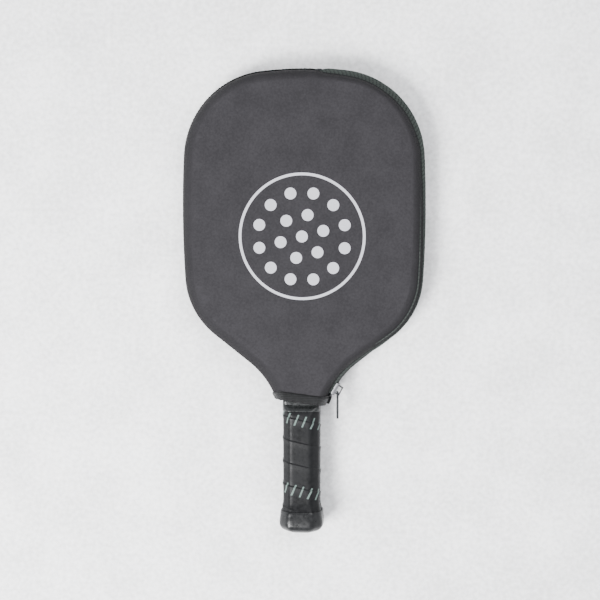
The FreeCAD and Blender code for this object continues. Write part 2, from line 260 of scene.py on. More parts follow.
@functools.cache
def knit_group() -> bpy.types.NodeTree:
    """Fine jersey knit: columns of slanted loops.

    Returns:
        Group with Place and Pitch in, and Height and Gap out.
    """
    w = start_group("jersey_knit", {"Place": "Vector", "Pitch": "Float"},
                    {"Height": "Float", "Gap": "Float"})
    source, end = w.tree.nodes["in"].outputs, w.tree.nodes["out"].inputs
    scaled = w.add("VectorMath", {0: source["Place"]}, operation="DIVIDE")
    w.feed(scaled.inputs[1], w.add("CombineXYZ", {
        "X": source["Pitch"], "Y": source["Pitch"], "Z": source["Pitch"]}).outputs[0])
    axes = w.add("SeparateXYZ", {0: scaled.outputs[0]})
    column = w.math("PINGPONG", axes.outputs["X"], 0.5)
    slant = w.math("MULTIPLY_ADD", column, 1.3, axes.outputs["Y"])
    loops = w.math("SINE", w.math("MULTIPLY", slant, 2 * math.pi))
    ridge = w.math("SINE", w.math("MULTIPLY", column, 2 * math.pi))
    height = w.math("MULTIPLY", w.spread(loops, 0.35, 1.0), ridge)
    w.feed(end["Height"], height)
    w.feed(end["Gap"], w.math("SUBTRACT", 1.0, height))
    return w.tree


@functools.cache
def weave_group() -> bpy.types.NodeTree:
    """Woven twill: threads of two directions passing over each other.

    Returns:
        Group with Place and Pitch in, and Height and Over out.
    """
    w = start_group("twill_weave", {"Place": "Vector", "Pitch": "Float"},
                    {"Height": "Float", "Over": "Float"})
    source, end = w.tree.nodes["in"].outputs, w.tree.nodes["out"].inputs
    axes = w.add("SeparateXYZ", {0: source["Place"]})
    across = w.math("DIVIDE", axes.outputs["X"], source["Pitch"])
    along = w.math("DIVIDE", axes.outputs["Y"], source["Pitch"])
    diagonal = w.math("ADD", w.math("FLOOR", across), w.math("FLOOR", along))
    over = w.math("GREATER_THAN", w.math("PINGPONG", diagonal, 2.0), 0.9)
    warp = w.math("SINE", w.math("MULTIPLY", w.math("FRACT", across), math.pi))
    weft = w.math("SINE", w.math("MULTIPLY", w.math("FRACT", along), math.pi))
    first = w.math("MULTIPLY", warp, over)
    last = w.math("MULTIPLY", weft, w.math("SUBTRACT", 1.0, over))
    w.feed(end["Height"], w.math("ADD", first, last))
    w.feed(end["Over"], over)
    return w.tree


@functools.cache
def mottle_group() -> bpy.types.NodeTree:
    """Cloudy variation of two sizes.

    Returns:
        Group with Place and Size in, and Cloud out.
    """
    w = start_group("mottle", {"Place": "Vector", "Size": "Float"}, {"Cloud": "Float"})
    source, end = w.tree.nodes["in"].outputs, w.tree.nodes["out"].inputs
    rate = w.math("DIVIDE", 1.0, source["Size"])
    fine = w.add("TexNoise", {"Vector": source["Place"], "Scale": rate, "Detail": 3.0})
    slow = w.math("MULTIPLY", rate, 0.07)
    wide = w.add("TexNoise", {"Vector": source["Place"], "Scale": slow, "Detail": 2.0})
    cloud = w.math("MULTIPLY_ADD", wide.outputs["Fac"], 0.4,
                   w.math("MULTIPLY", fine.outputs["Fac"], 0.6))
    w.feed(end["Cloud"], w.add("MapRange", {
        "Value": cloud, "From Min": 0.36, "From Max": 0.64}).outputs[0])
    return w.tree


class Place(Enum):
    """Where a finish reads its pattern."""

    CLOTH = "cloth"
    OBJECT = "object"


@dataclass(frozen=True)
class Finish:
    """Common part of every finish."""

    name: str
    colour: tuple[float, float, float]
    roughness: float
    place: Place = Place.OBJECT

    def start(self) -> tuple[bpy.types.Material, Weaver, bpy.types.NodeSocket]:
        """Make the material.

        Returns:
            The material, a weaver on its tree, and its pattern's coordinates.
        """
        material = bpy.data.materials.new(self.name)
        material.use_nodes = True
        w = Weaver(material.node_tree)
        if self.place is Place.CLOTH:
            vector = w.add("Attribute", attribute_name="cloth").outputs["Vector"]
        else:
            vector = w.add("TexCoord").outputs["Object"]
        return material, w, vector

    def shader(self, w: Weaver, **sockets: object) -> None:
        """Set the Principled shader.

        Args:
            w: Weaver on the material's tree.
            sockets: Values or sockets, by name with _ for a space.
        """
        node = w.tree.nodes["Principled BSDF"]
        node.inputs["Roughness"].default_value = self.roughness
        for label, value in sockets.items():
            w.feed(node.inputs[label.replace("_", " ")], value)

    def group(self, w: Weaver, tree: bpy.types.NodeTree, **inputs: object) -> bpy.types.Node:
        """Place a node group.

        Args:
            w: Weaver on the material's tree.
            tree: The group.
            inputs: Its inputs by name.

        Returns:
            The group's node.
        """
        node = w.add("Group", node_tree=tree)
        for label, value in inputs.items():
            w.feed(node.inputs[label], value)
        return node

    def tone(self, share: float) -> tuple[float, float, float, float]:
        """The colour made lighter or darker.

        Args:
            share: Factor on the colour.

        Returns:
            A colour with alpha.
        """
        return (*(channel * share for channel in self.colour), 1.0)

    def build(self) -> bpy.types.Material:
        """Make a moulded surface with faint clouding; other finishes do more."""
        material, w, vector = self.start()
        cloud = self.group(w, mottle_group(), Place=vector, Size=0.004).outputs[0]
        self.shader(w, Base_Color=w.blend(cloud, self.tone(0.85), self.tone(1.15)),
                    Roughness=w.spread(cloud, self.roughness - 0.06, self.roughness + 0.06),
                    Normal=w.bump(cloud, 0.05 * MM))
        return material


@dataclass(frozen=True)
class KnitFinish(Finish):
    """Knit jersey laminated to foam, or a brushed or ribbed knit."""

    pitch: float = 0.8 * MM
    depth: float = 0.16 * MM
    sheen: float = 0.25
    # Colour factor where the edge value is 1: painted shade on the rounded rims.
    edge_shade_tone: float = 0.42
    speckle: float = 0.22

    def build(self) -> bpy.types.Material:
        """Build the knit with its mottle, and painted shade that darkens its rounded rims."""
        material, w, vector = self.start()
        knit = self.group(w, knit_group(), Place=vector, Pitch=self.pitch)
        cloud = self.group(w, mottle_group(), Place=vector, Size=1.7 * MM).outputs[0]
        edge = w.add("Attribute", attribute_name="edge").outputs["Fac"]
        light = w.blend(cloud, self.tone(1 - self.speckle), self.tone(1 + self.speckle))
        gaps = w.blend(w.math("MULTIPLY", knit.outputs["Gap"], 0.3), light, self.tone(0.4))
        # Painted shade: the colour darkens towards the rim by the edge value.
        painted_edge_shade = w.blend(edge, gaps, self.tone(self.edge_shade_tone))
        height = w.math("MULTIPLY_ADD", cloud, 0.35, knit.outputs["Height"])
        self.shader(w, Base_Color=painted_edge_shade,
                    Roughness=w.spread(cloud, self.roughness - 0.05, self.roughness + 0.05),
                    Sheen_Weight=self.sheen, Sheen_Roughness=0.45,
                    Normal=w.bump(height, self.depth), Specular_IOR_Level=0.12)
        return material


@dataclass(frozen=True)
class WovenFinish(Finish):
    """Woven zip tape or carbon cloth under resin."""

    pitch: float = 0.45 * MM
    depth: float = 0.12 * MM
    contrast: float = 0.3
    coat: float = 0.0

    def build(self) -> bpy.types.Material:
        """Build the weave."""
        material, w, vector = self.start()
        weave = self.group(w, weave_group(), Place=vector, Pitch=self.pitch)
        cloud = self.group(w, mottle_group(), Place=vector, Size=2.5 * MM).outputs[0]
        thread = w.blend(weave.outputs["Over"], self.tone(1 - self.contrast), self.tone(1.1))
        tint = w.blend(w.math("MULTIPLY", cloud, 0.35), thread, self.tone(0.6))
        self.shader(w, Base_Color=tint, Normal=w.bump(weave.outputs["Height"], self.depth),
                    Roughness=w.spread(cloud, self.roughness - 0.05, self.roughness + 0.05),
                    Coat_Weight=self.coat, Specular_IOR_Level=0.12 + 0.4 * self.coat)
        return material


@dataclass(frozen=True)
class MetalFinish(Finish):
    """Plated metal with fine scratches and finger marks."""

    scratch: float = 0.1

    def build(self) -> bpy.types.Material:
        """Build the plated metal."""
        material, w, vector = self.start()
        stretched = w.add("Mapping", {"Vector": vector, "Scale": (9000.0, 700.0, 4000.0)})
        lines = w.add("TexNoise", {"Vector": stretched.outputs[0], "Scale": 1.0, "Detail": 4.0})
        cloud = self.group(w, mottle_group(), Place=vector, Size=0.9 * MM).outputs[0]
        marks = w.math("MULTIPLY_ADD", lines.outputs["Fac"], 0.5, w.math("MULTIPLY", cloud, 0.5))
        self.shader(w, Base_Color=w.blend(cloud, self.tone(0.8), self.tone(1.05)), Metallic=1.0,
                    Roughness=w.spread(marks, self.roughness - 0.06,
                                       self.roughness + self.scratch),
                    Normal=w.bump(lines.outputs["Fac"], 0.012 * MM))
        return material


@dataclass(frozen=True)
class GripFinish(Finish):
    """Cushioned wrap: fine leather grain, pin holes, wear, and rows of slanted bars."""

    bars: tuple[tuple[float, float], ...] = ()
    bar_colour: tuple[float, float, float] = (0.10, 0.135, 0.122)
    bar_climb: float = -0.19
    bar_slant: float = 0.45
    bar_spacing: float = 8.6 * MM
    bar_width: float = 0.2
    shine: float = 0.12

    def printed(self, w: Weaver) -> bpy.types.NodeSocket:
        """Mask of the slanted bars.

        Args:
            w: Weaver on the material's tree.

        Returns:
            1 on a bar and 0 beside it.
        """
        axes = w.add("SeparateXYZ", {0: w.add("Attribute", attribute_name="cloth").outputs[1]})
        round_it, down = axes.outputs["X"], axes.outputs["Y"]
        total: object = 0.0
        for middle, half in self.bars:
            slope = w.math("MULTIPLY_ADD", round_it, self.bar_climb, down)
            from_middle = w.math("ABSOLUTE", w.math("SUBTRACT", slope, middle))
            band = w.math("LESS_THAN", from_middle, half)
            slanted = w.math("MULTIPLY_ADD", down, self.bar_slant, round_it)
            cycle = w.math("FRACT", w.math("DIVIDE", slanted, self.bar_spacing))
            stripe = w.math("LESS_THAN", cycle, self.bar_width)
            total = w.math("MAXIMUM", total, w.math("MULTIPLY", band, stripe))
        return total

    def build(self) -> bpy.types.Material:
        """Build the wrap."""
        material, w, vector = self.start()
        grain = w.add("TexVoronoi", {"Vector": vector, "Scale": 1100.0})
        cloud = self.group(w, mottle_group(), Place=vector, Size=3.0 * MM).outputs[0]
        pores = w.add("TexVoronoi", {"Vector": vector, "Scale": 300.0, "Randomness": 0.5})
        hole = w.math("LESS_THAN", pores.outputs["Distance"], 0.09)
        colour = w.blend(cloud, self.tone(0.75), self.tone(1.3))
        colour = w.blend(w.math("MULTIPLY", hole, 0.75), colour, self.tone(0.25))
        if self.bars:
            colour = w.blend(self.printed(w), colour, (*self.bar_colour, 1.0))
        height = w.math("MULTIPLY_ADD", grain.outputs["Distance"], 0.25,
                        w.math("SUBTRACT", w.math("MULTIPLY", cloud, 0.8), hole))
        self.shader(w, Base_Color=colour, Normal=w.bump(height, 0.07 * MM),
                    Roughness=w.spread(cloud, self.roughness - 0.1, self.roughness + 0.1),
                    Specular_IOR_Level=self.shine)
        return material


@dataclass(frozen=True)
class CellFinish(Finish):
    """Honeycomb or foam cells."""

    cell: float = 6.0 * MM

    def build(self) -> bpy.types.Material:
        """Build the cells."""
        material, w, vector = self.start()
        cells = w.add("TexVoronoi", {"Vector": vector, "Scale": 1.0 / self.cell,
                                     "Randomness": 0.15}, feature="DISTANCE_TO_EDGE")
        wall = w.math("LESS_THAN", cells.outputs["Distance"], 0.06)
        self.shader(w, Base_Color=w.blend(wall, self.tone(0.75), self.tone(1.1)),
                    Normal=w.bump(wall, 0.3 * MM))
        return material


@dataclass(frozen=True)
class PrintFinish(Finish):
    """Heat-pressed film that lets the knit beneath show through a little."""

    def build(self) -> bpy.types.Material:
        """Build the film."""
        material, w, vector = self.start()
        knit = self.group(w, knit_group(), Place=vector, Pitch=0.8 * MM)
        cloud = self.group(w, mottle_group(), Place=vector, Size=1.2 * MM).outputs[0]
        self.shader(w, Base_Color=w.blend(cloud, self.tone(0.9), self.tone(1.06)),
                    Roughness=w.spread(cloud, self.roughness - 0.05, self.roughness + 0.08),
                    Normal=w.bump(knit.outputs["Height"], 0.05 * MM))
        return material


# The edge shade factors below paint shade on each knit's rounded rims.
NEOPRENE = KnitFinish("neoprene_knit", (0.030, 0.0285, 0.0315), 0.88, Place.CLOTH, sheen=0.04,
                      edge_shade_tone=0.08)
LINING = KnitFinish("brushed_lining", (0.020, 0.020, 0.023), 0.9, Place.CLOTH,
                    pitch=1.2 * MM, sheen=0.12, edge_shade_tone=0.8)
BINDING = KnitFinish("elastic_binding", (0.010, 0.0103, 0.0107), 0.85, Place.CLOTH,
                     pitch=1.5 * MM, depth=0.4 * MM, edge_shade_tone=0.12, speckle=0.4)
SEAM = KnitFinish("seam_tape", (0.030, 0.031, 0.033), 0.85, Place.CLOTH, pitch=1.0 * MM)
TAPE = WovenFinish("woven_zip_tape", (0.042, 0.049, 0.045), 0.85, Place.CLOTH, pitch=0.9 * MM,
                   depth=0.2 * MM, contrast=0.5)
# Piping colour darker than the panel: partly the piping's own colour, partly painted shade of the gap under
# the panel's edge.
PIPING = WovenFinish("edge_piping", (0.012, 0.013, 0.013), 0.8, pitch=0.6 * MM)
THREAD = WovenFinish("sewing_thread", (0.016, 0.017, 0.018), 0.6, pitch=0.25 * MM, depth=0.05 * MM)
COIL = Finish("zip_coil_nylon", (0.012, 0.013, 0.013), 0.38)
SILVER = MetalFinish("bright_nickel", (0.26, 0.26, 0.27), 0.26)
GUNMETAL = MetalFinish("dark_gunmetal", (0.04, 0.041, 0.044), 0.36)
GRIP = GripFinish("cushion_grip", (0.0065, 0.0067, 0.0072), 0.4,
                  bars=((-108.8 * MM, 5.2 * MM), (-172.4 * MM, 5.2 * MM)))
VINYL = GripFinish("vinyl_band", (0.01, 0.011, 0.011), 0.3, shine=0.45)
BUTT = GripFinish("butt_wrap", (0.006, 0.0063, 0.0067), 0.32, shine=0.3)
PRINT = PrintFinish("pressed_film", (0.42, 0.42, 0.45), 0.6, Place.CLOTH)
CARBON = WovenFinish("carbon_face", (0.016, 0.016, 0.018), 0.38, pitch=2.0 * MM,
                     depth=0.02 * MM, contrast=0.5, coat=0.15)
GUARD = Finish("moulded_guard", (0.02, 0.02, 0.021), 0.5)
CORE = CellFinish("honeycomb_core", (0.72, 0.72, 0.70), 0.6)
FOAM = CellFinish("handle_foam", (0.5, 0.46, 0.38), 0.9, cell=1.2 * MM)


@functools.cache
def material_of(finish: Finish) -> bpy.types.Material:
    """Build each finish once."""
    return finish.build()


# ---------------------------------------------------------------- meshes
def to_object(name: str, bm: bmesh.types.BMesh, finish: Finish) -> bpy.types.Object:
    """Turn a bmesh into a smooth object with its finish.

    Args:
        name: Name of the piece.
        bm: The mesh, which is freed.
        finish: Its finish.

    Returns:
        The object, at the origin.
    """
    mesh = bpy.data.meshes.new(name)
    bm.to_mesh(mesh)
    bm.free()
    mesh.shade_smooth()
    mesh.materials.append(material_of(finish))
    piece = bpy.data.objects.new(name, mesh)
    bpy.context.scene.collection.objects.link(piece)
    return piece


def settle(piece: bpy.types.Object) -> bpy.types.Object:
    """Apply all modifiers, so that the mesh is final."""
    graph = bpy.context.evaluated_depsgraph_get()
    made = bpy.data.meshes.new_from_object(piece.evaluated_get(graph))
    piece.modifiers.clear()
    piece.data = made
    return piece


def thicken(piece: bpy.types.Object, thickness: float, edge: float = 0.0,
            offset: float = -1.0) -> bpy.types.Object:
    """Give a surface its thickness and soft edges.

    Args:
        piece: Open surface with outward normals.
        thickness: Wall in metres.
        edge: Rounding of the cut edges.
        offset: -1 builds the wall inwards, 0 to both sides.

    Returns:
        The piece with a final mesh.
    """
    solid = piece.modifiers.new("wall", "SOLIDIFY")
    solid.thickness = thickness
    solid.offset = offset
    if edge:
        bevel = piece.modifiers.new("edge", "BEVEL")
        bevel.width = edge
        bevel.segments = 3
        bevel.limit_method = "ANGLE"
        bevel.angle_limit = math.radians(55)
    return settle(piece)


def slice_at(bm: bmesh.types.BMesh, point: Vector, normal: Vector, *, inner: bool = False,
             outer: bool = False) -> None:
    """Cut a whole mesh at a plane.

    Args:
        bm: The mesh.
        point: A point of the plane.
        normal: Direction across it.
        inner: Drop what lies behind the plane.
        outer: Drop what lies past the plane.
    """
    bmesh.ops.bisect_plane(bm, geom=bm.verts[:] + bm.edges[:] + bm.faces[:], plane_co=point,
                           plane_no=normal, clear_inner=inner, clear_outer=outer)


def verts_in(made: dict) -> list[bmesh.types.BMVert]:
    """The vertices that a bmesh operator made."""
    return [g for g in made["geom"] if isinstance(g, bmesh.types.BMVert)]


def extrude_edges(bm: bmesh.types.BMesh, edges: list[bmesh.types.BMEdge]
                  ) -> tuple[list[bmesh.types.BMVert], list[bmesh.types.BMEdge]]:
    """Extrude a row of edges.

    Args:
        bm: The mesh.
        edges: Row to extrude.

    Returns:
        The new row's vertices and edges.
    """
    made = bmesh.ops.extrude_edge_only(bm, edges=edges)
    verts = verts_in(made)
    fresh = set(verts)
    row = {e for v in verts for e in v.link_edges if e.verts[0] in fresh and e.verts[1] in fresh}
    return verts, list(row)


@dataclass(frozen=True)
class HeadOutline:
    """Outline of the cover's head: tangent arcs and one straight flank, then past the mouth."""

    top: float = 207.1 * MM
    runs: tuple[tuple[float, float], ...] = (
        (313.0, 6.97366), (78.0, 80.12634), (990.0, 6.34395), (69.0, 48.25605),
        (0.0, 40.96643), (-72.0, -33.7), (0.0, 22.0),
    )

    def trace(self, spacing: float) -> bmesh.types.BMesh:
        """Draw the outline as a chain of edges, both sides.

        Args:
            spacing: Distance between points.

        Returns:
            A mesh whose points carry their home, their outward direction and their distance
            along the outline from the top, negative on the sewn side.
        """
        bm = bmesh.new()
        away = bm.verts.layers.float_vector.new("away")
        home = bm.verts.layers.float_vector.new("home")
        along = bm.verts.layers.float.new("along")
        tip = bm.verts.new((0.0, self.top, 0.0))
        tip[away] = Vector((0.0, 1.0, 0.0))
        for radius, amount in self.runs:
            if radius == 0.0:
                steps = math.ceil(amount * MM / spacing)
                step = Vector((tip[away].y, -tip[away].x, 0.0)) * (amount * MM / steps)
                for _ in range(steps):
                    made = bmesh.ops.extrude_vert_indiv(bm, verts=[tip])["verts"][0]
                    made.co = tip.co + step
                    made[away] = tip[away]
                    made[along] = tip[along] + step.length
                    tip = made
                continue
            before = set(bm.verts)
            arm = tip[away].copy() * (radius * MM)
            centre, turn, base = tip.co - arm, math.radians(amount), tip[along]
            steps = math.ceil(abs(turn * radius * MM) / spacing)
            made = bmesh.ops.spin(bm, geom=[tip], cent=centre, axis=(0.0, 0.0, 1.0),
                                  angle=-turn, steps=steps)
            for v in set(bm.verts) - before:
                direction = (v.co - centre).normalized()
                angle = direction.angle(arm.normalized())
                v[away] = direction * math.copysign(1.0, radius)
                v[along] = base + abs(angle * radius * MM)
            tip = made["geom_last"][0]
        whole = bm.verts[:] + bm.edges[:]
        bmesh.ops.mirror(bm, geom=whole, matrix=Matrix.Identity(4), merge_dist=1e-6, axis="X")
        for v in bm.verts:
            v[home] = v.co
            if v.co.x < -1e-6:
                v[away] = Vector((-abs(v[away].x), v[away].y, 0.0))
                v[along] = -abs(v[along])
        return bm


@dataclass(frozen=True)
class RimSection:
    """Section of the cover's rim, from the flat face round to the middle plane."""

    half: float = 12.6 * MM
    rounding: float = 11.0 * MM

    def at(self, inset: float, run: float) -> tuple[float, float]:
        """Point on a layer's section.

        Args:
            inset: Depth of the layer below the outside.
            run: Distance along the section from the flat's edge.

        Returns:
            Inset from the outline, and rise above the middle plane.
        """
        radius = self.rounding - inset
        quarter = radius * math.pi / 2
        angle = min(run / radius, math.pi / 2)
        wall = max(run - quarter, 0.0)
        rise = self.half - self.rounding + radius * math.cos(angle) - wall
        return inset + radius * (1 - math.sin(angle)), rise

    def length(self, inset: float, low: float) -> float:
        """Distance along a layer's section down to a rise above the middle plane.

        Args:
            inset: Depth of the layer.
            low: Rise at which the layer ends.

        Returns:
            The distance from the flat's edge.
        """
        radius = self.rounding - inset
        floor = self.half - self.rounding
        if low <= floor:
            return radius * math.pi / 2 + floor - low
        return radius * math.acos(min((low - floor) / radius, 1.0))


@dataclass(frozen=True)
class Layer:
    """One layer of one half of the cover, as a surface."""

    face: Face
    inset: float
    window: float
    retreat: tuple[tuple[float, float], ...] = ((0.0, 0.0),)
    spacing: float = 3.0 * MM
    rows: int = 8
    cell: float = 6.0 * MM
    band: float = 0.0
    spare: float = 2.0 * MM
    outline: HeadOutline = HeadOutline()
    rim: RimSection = RimSection()

    def low(self, along: float) -> float:
        """Rise at which the layer ends: the zip's window on one side, the seam on the other."""
        return self.window * ease(9.0 * MM, 15.0 * MM, along)

    def build(self) -> bmesh.types.BMesh:
        """Build the surface, cut at the mouth.

        Returns:
            The surface, with outward normals and its cloth and edge values; the edge values paint shade onto
            the rim.
        """
        sign = self.face.value
        bm = self.outline.trace(self.spacing)
        layers = bm.verts.layers
        home, away = layers.float_vector["home"], layers.float_vector["away"]
        along = layers.float["along"]
        cloth, edge = layers.float_vector.new("cloth"), layers.float.new("edge")
        flat_z = MID_Z + sign * (self.rim.half - self.inset)
        for v in bm.verts:
            v.co = v[home] - v[away] * self.rim.rounding
            v.co.z = flat_z
        ends = sorted(bm.verts, key=lambda v: v.co.y)[:2]
        floor = ends[0].co.y
        bm.edges.new(ends)
        bmesh.ops.contextual_create(bm, geom=bm.edges[:])
        self.cut(bm)
        for v in bm.verts:
            v[cloth] = v.co
        rim_edges = [e for e in bm.edges if e.is_boundary and self.on_rim(e, floor)]
        for row in range(1, self.rows + 1):
            verts, rim_edges = extrude_edges(bm, rim_edges)
            for v in verts:
                share = row / self.rows
                run = self.rim.length(self.inset, self.low(v[along])) * share
                inset, rise = self.rim.at(self.inset, run)
                inset += between(self.retreat, v[along]) * ease(0.0, 1.0, share)
                v.co = v[home] - v[away] * inset
                v.co.z = MID_Z + sign * rise
                v[cloth] = v[home] + v[away] * (run - self.rim.rounding)
                # Edge value: painted shade darkening the rim towards the outline; its outermost row, at 1,
                # also marks the rim for the piping.
                v[edge] = share ** 0.75 * (0.9 + 0.1 * share)
        slice_at(bm, MOUTH_POINT, MOUTH_UP, inner=True)
        if self.band:
            slice_at(bm, MOUTH_POINT + MOUTH_UP * self.band, -MOUTH_UP, inner=True)
        bmesh.ops.recalc_face_normals(bm, faces=bm.faces[:])
        top = max(bm.faces, key=lambda f: f.calc_area())
        if top.normal.z * sign < 0:
            bmesh.ops.reverse_faces(bm, faces=bm.faces[:])
        return bm

    def on_rim(self, edge: bmesh.types.BMEdge, floor: float) -> bool:
        """Whether a boundary edge lies on the outline and not on a straight cut.

        Args:
            edge: The edge.
            floor: Lowest line of the outline.

        Returns:
            True on the outline.
        """
        if all(v.co.y < floor + 1e-6 for v in edge.verts):
            return False
        top = MOUTH_POINT + MOUTH_UP * (self.band + self.spare)
        return not (self.band and all(abs((v.co - top).dot(MOUTH_UP)) < 1e-6
                                      for v in edge.verts))

    def cut(self, bm: bmesh.types.BMesh) -> None:
        """Cut the flat face into even cells.

        Args:
            bm: Mesh that holds the flat face.
        """
        if self.band:
            slice_at(bm, MOUTH_POINT + MOUTH_UP * (self.band + self.spare), MOUTH_UP, outer=True)
        for axis, unit in ((0, Vector((1, 0, 0))), (1, Vector((0, 1, 0)))):
            low = min(v.co[axis] for v in bm.verts)
            high = max(v.co[axis] for v in bm.verts)
            count = int((high - low) / self.cell)
            for index in range(1, count):
                slice_at(bm, unit * (low + (high - low) * index / count), unit)


def strip(spacing: float, low: float, high: float, rows: int,
          place: Callable[[int, float], tuple[float, float, float]]
          ) -> tuple[bmesh.types.BMesh, float]:
    """A strip of cloth along the cover's outline.

    Args:
        spacing: Distance between points along the outline.
        low: Where the strip starts along the outline.
        high: Where it ends.
        rows: Rows of points across it.
        place: Inset, height and place across the flat cloth, by row and distance along.

    Returns:
        The strip, and its length along the outline.
    """
    bm = HeadOutline().trace(spacing)
    layers = bm.verts.layers
    home, away = layers.float_vector["home"], layers.float_vector["away"]
    along, cloth = layers.float["along"], layers.float_vector.new("cloth")
    drop = [v for v in bm.verts if not low < v[along] < high]
    bmesh.ops.delete(bm, geom=drop, context="VERTS")
    length, edges = sum(e.calc_length() for e in bm.edges), bm.edges[:]
    for row in range(rows):
        verts, edges = (bm.verts[:], edges) if row == 0 else extrude_edges(bm, edges)
        for v in verts:
            inset, height, across = place(row, v[along])
            v.co = v[home] - v[away] * inset
            v.co.z = MID_Z + height
            v[cloth] = Vector((v[along], across, 0.0))
    bmesh.ops.recalc_face_normals(bm, faces=bm.faces[:])
    return bm, length


def chain(edges: Sequence[bmesh.types.BMEdge]) -> list[bmesh.types.BMVert]:
    """The vertices of an open chain of edges, in order.

    Args:
        edges: Edges of one chain.

    Returns:
        Its vertices from one end to the other.
    """
    links: dict = {}
    for e in edges:
        for v in e.verts:
            links.setdefault(v, []).append(e)
    ends = sorted((v for v in links if len(links[v]) == 1), key=lambda v: (v.co.y, v.co.x))
    path, used = [ends[0]], set()
    while True:
        step = [e for e in links[path[-1]] if e not in used]
        if not step:
            return path
        used.add(step[0])
        path.append(step[0].other_vert(path[-1]))


@dataclass(frozen=True)
class Stop:
    """A place on a line over the surface."""

    place: Vector
    normal: Vector
    forward: Vector


def walk(points: Sequence[Vector], normals: Sequence[Vector], step: float) -> list[Stop]:
    """Places evenly spaced along a line.

    Args:
        points: Points of the line.
        normals: Outward direction at each point.
        step: Distance between the places.

    Returns:
        The places.
    """
    stops, left = [], step / 2
    for a, b, na, nb in zip(points, points[1:], normals, normals[1:]):
        length = (b - a).length
        while length > 1e-9 and left <= length:
            share = left / length
            stops.append(Stop(a.lerp(b, share), na.lerp(nb, share).normalized(),
                              (b - a).normalized()))
            left += step
        left -= length
    return stops


def walk_verts(path: Sequence[bmesh.types.BMVert], step: float) -> list[Stop]:
    """Places evenly spaced along a chain of vertices, a step apart."""
    return walk([v.co.copy() for v in path], [v.normal.copy() for v in path], step)


def bead(size: tuple[float, float, float], soft: float) -> bpy.types.Mesh:
    """A small bar with rounded edges, a few dozen faces.

    Args:
        size: Length, width and height.
        soft: Rounding.

    Returns:
        The bar's mesh, about the origin.
    """
    bm = bmesh.new()
    bmesh.ops.create_cube(bm, size=1.0, matrix=Matrix.Diagonal((*size, 1.0)))
    bmesh.ops.bevel(bm, geom=bm.edges[:], offset=soft, offset_type="OFFSET", segments=1,
                    profile=0.5, affect="EDGES", material=-1)
    mesh = bpy.data.meshes.new("bead")
    bm.to_mesh(mesh)
    bm.free()
    return mesh


def row_of(name: str, shape: bpy.types.Mesh, stops: Sequence[Stop], finish: Finish,
           lean: Callable[[int], tuple[float, float, float]]) -> bpy.types.Object:
    """Copies of a small shape along a line, as one piece.

    Args:
        name: Name of the piece.
        shape: The shape, long in X.
        stops: Where the copies go.
        finish: Their finish.
        lean: For each copy, its turn in radians and its shift across and outwards.

    Returns:
        The piece.
    """
    bm = bmesh.new()
    for index, stop in enumerate(stops):
        turn, across, out = lean(index)
        forward = (stop.forward - stop.normal * stop.forward.dot(stop.normal)).normalized()
        side = stop.normal.cross(forward)
        axes = Matrix((forward, side, stop.normal)).transposed().to_4x4()
        place = Matrix.Translation(stop.place + side * across + stop.normal * out)
        count = len(bm.verts)
        bm.from_mesh(shape)
        bm.verts.ensure_lookup_table()
        bmesh.ops.transform(bm, matrix=place @ axes @ Matrix.Rotation(turn, 4, "Z"),
                            verts=bm.verts[count:])
    bpy.data.meshes.remove(shape)
    return to_object(name, bm, finish)


def tube(name: str, points: Sequence[Vector], radius: float, finish: Finish) -> bpy.types.Object:
    """A thin round piping along a line.

    Args:
        name: Name of the piece.
        points: Points of the line.
        radius: Half its thickness.
        finish: Its finish.

    Returns:
        The piece.
    """
    curve = bpy.data.curves.new(name, "CURVE")
    curve.dimensions = "3D"
    curve.bevel_depth = radius
    curve.bevel_resolution = 2
    curve.use_fill_caps = True
    curve.resolution_u = 2
    spline = curve.splines.new("NURBS")
    spline.points.add(len(points) - 1)
    for knot, point in zip(spline.points, points):
        knot.co = (*point, 1.0)
    spline.order_u = 3
    spline.use_endpoint_u = True
    holder = bpy.data.objects.new(name + "_line", curve)
    mesh = bpy.data.meshes.new_from_object(holder)
    bpy.data.objects.remove(holder)
    mesh.materials.clear()
    bm = bmesh.new()
    bm.from_mesh(mesh)
    return to_object(name, bm, finish)


def bend(piece: bpy.types.Object) -> bpy.types.Object:
    """Let a piece of the front bend between the fixed side and the folding side.

    Args:
        piece: The piece, with its final mesh.

    Returns:
        The same piece.
    """
    start = FOLD_POINT - FOLD_AWAY * FOLD_LEAD
    bm = bmesh.new()
    bm.from_mesh(piece.data)
    for cut in range(FOLD_CUTS + 1):
        slice_at(bm, start + FOLD_AWAY * (FOLD_LENGTH * cut / FOLD_CUTS), FOLD_AWAY)
    bm.to_mesh(piece.data)
    bm.free()
    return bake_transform(piece, "case", "flap", start=start, end=start + FOLD_AWAY * FOLD_LENGTH)


def hold(piece: bpy.types.Object, face: Face) -> bpy.types.Object:
    """Let a piece of the front bend with the flap, and a piece of the back ride on the case.

    Args:
        piece: The piece, with its final mesh.
        face: Which half of the cover it belongs to.

    Returns:
        The same piece.
    """
    return bend(piece) if face is Face.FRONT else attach(piece, "case")


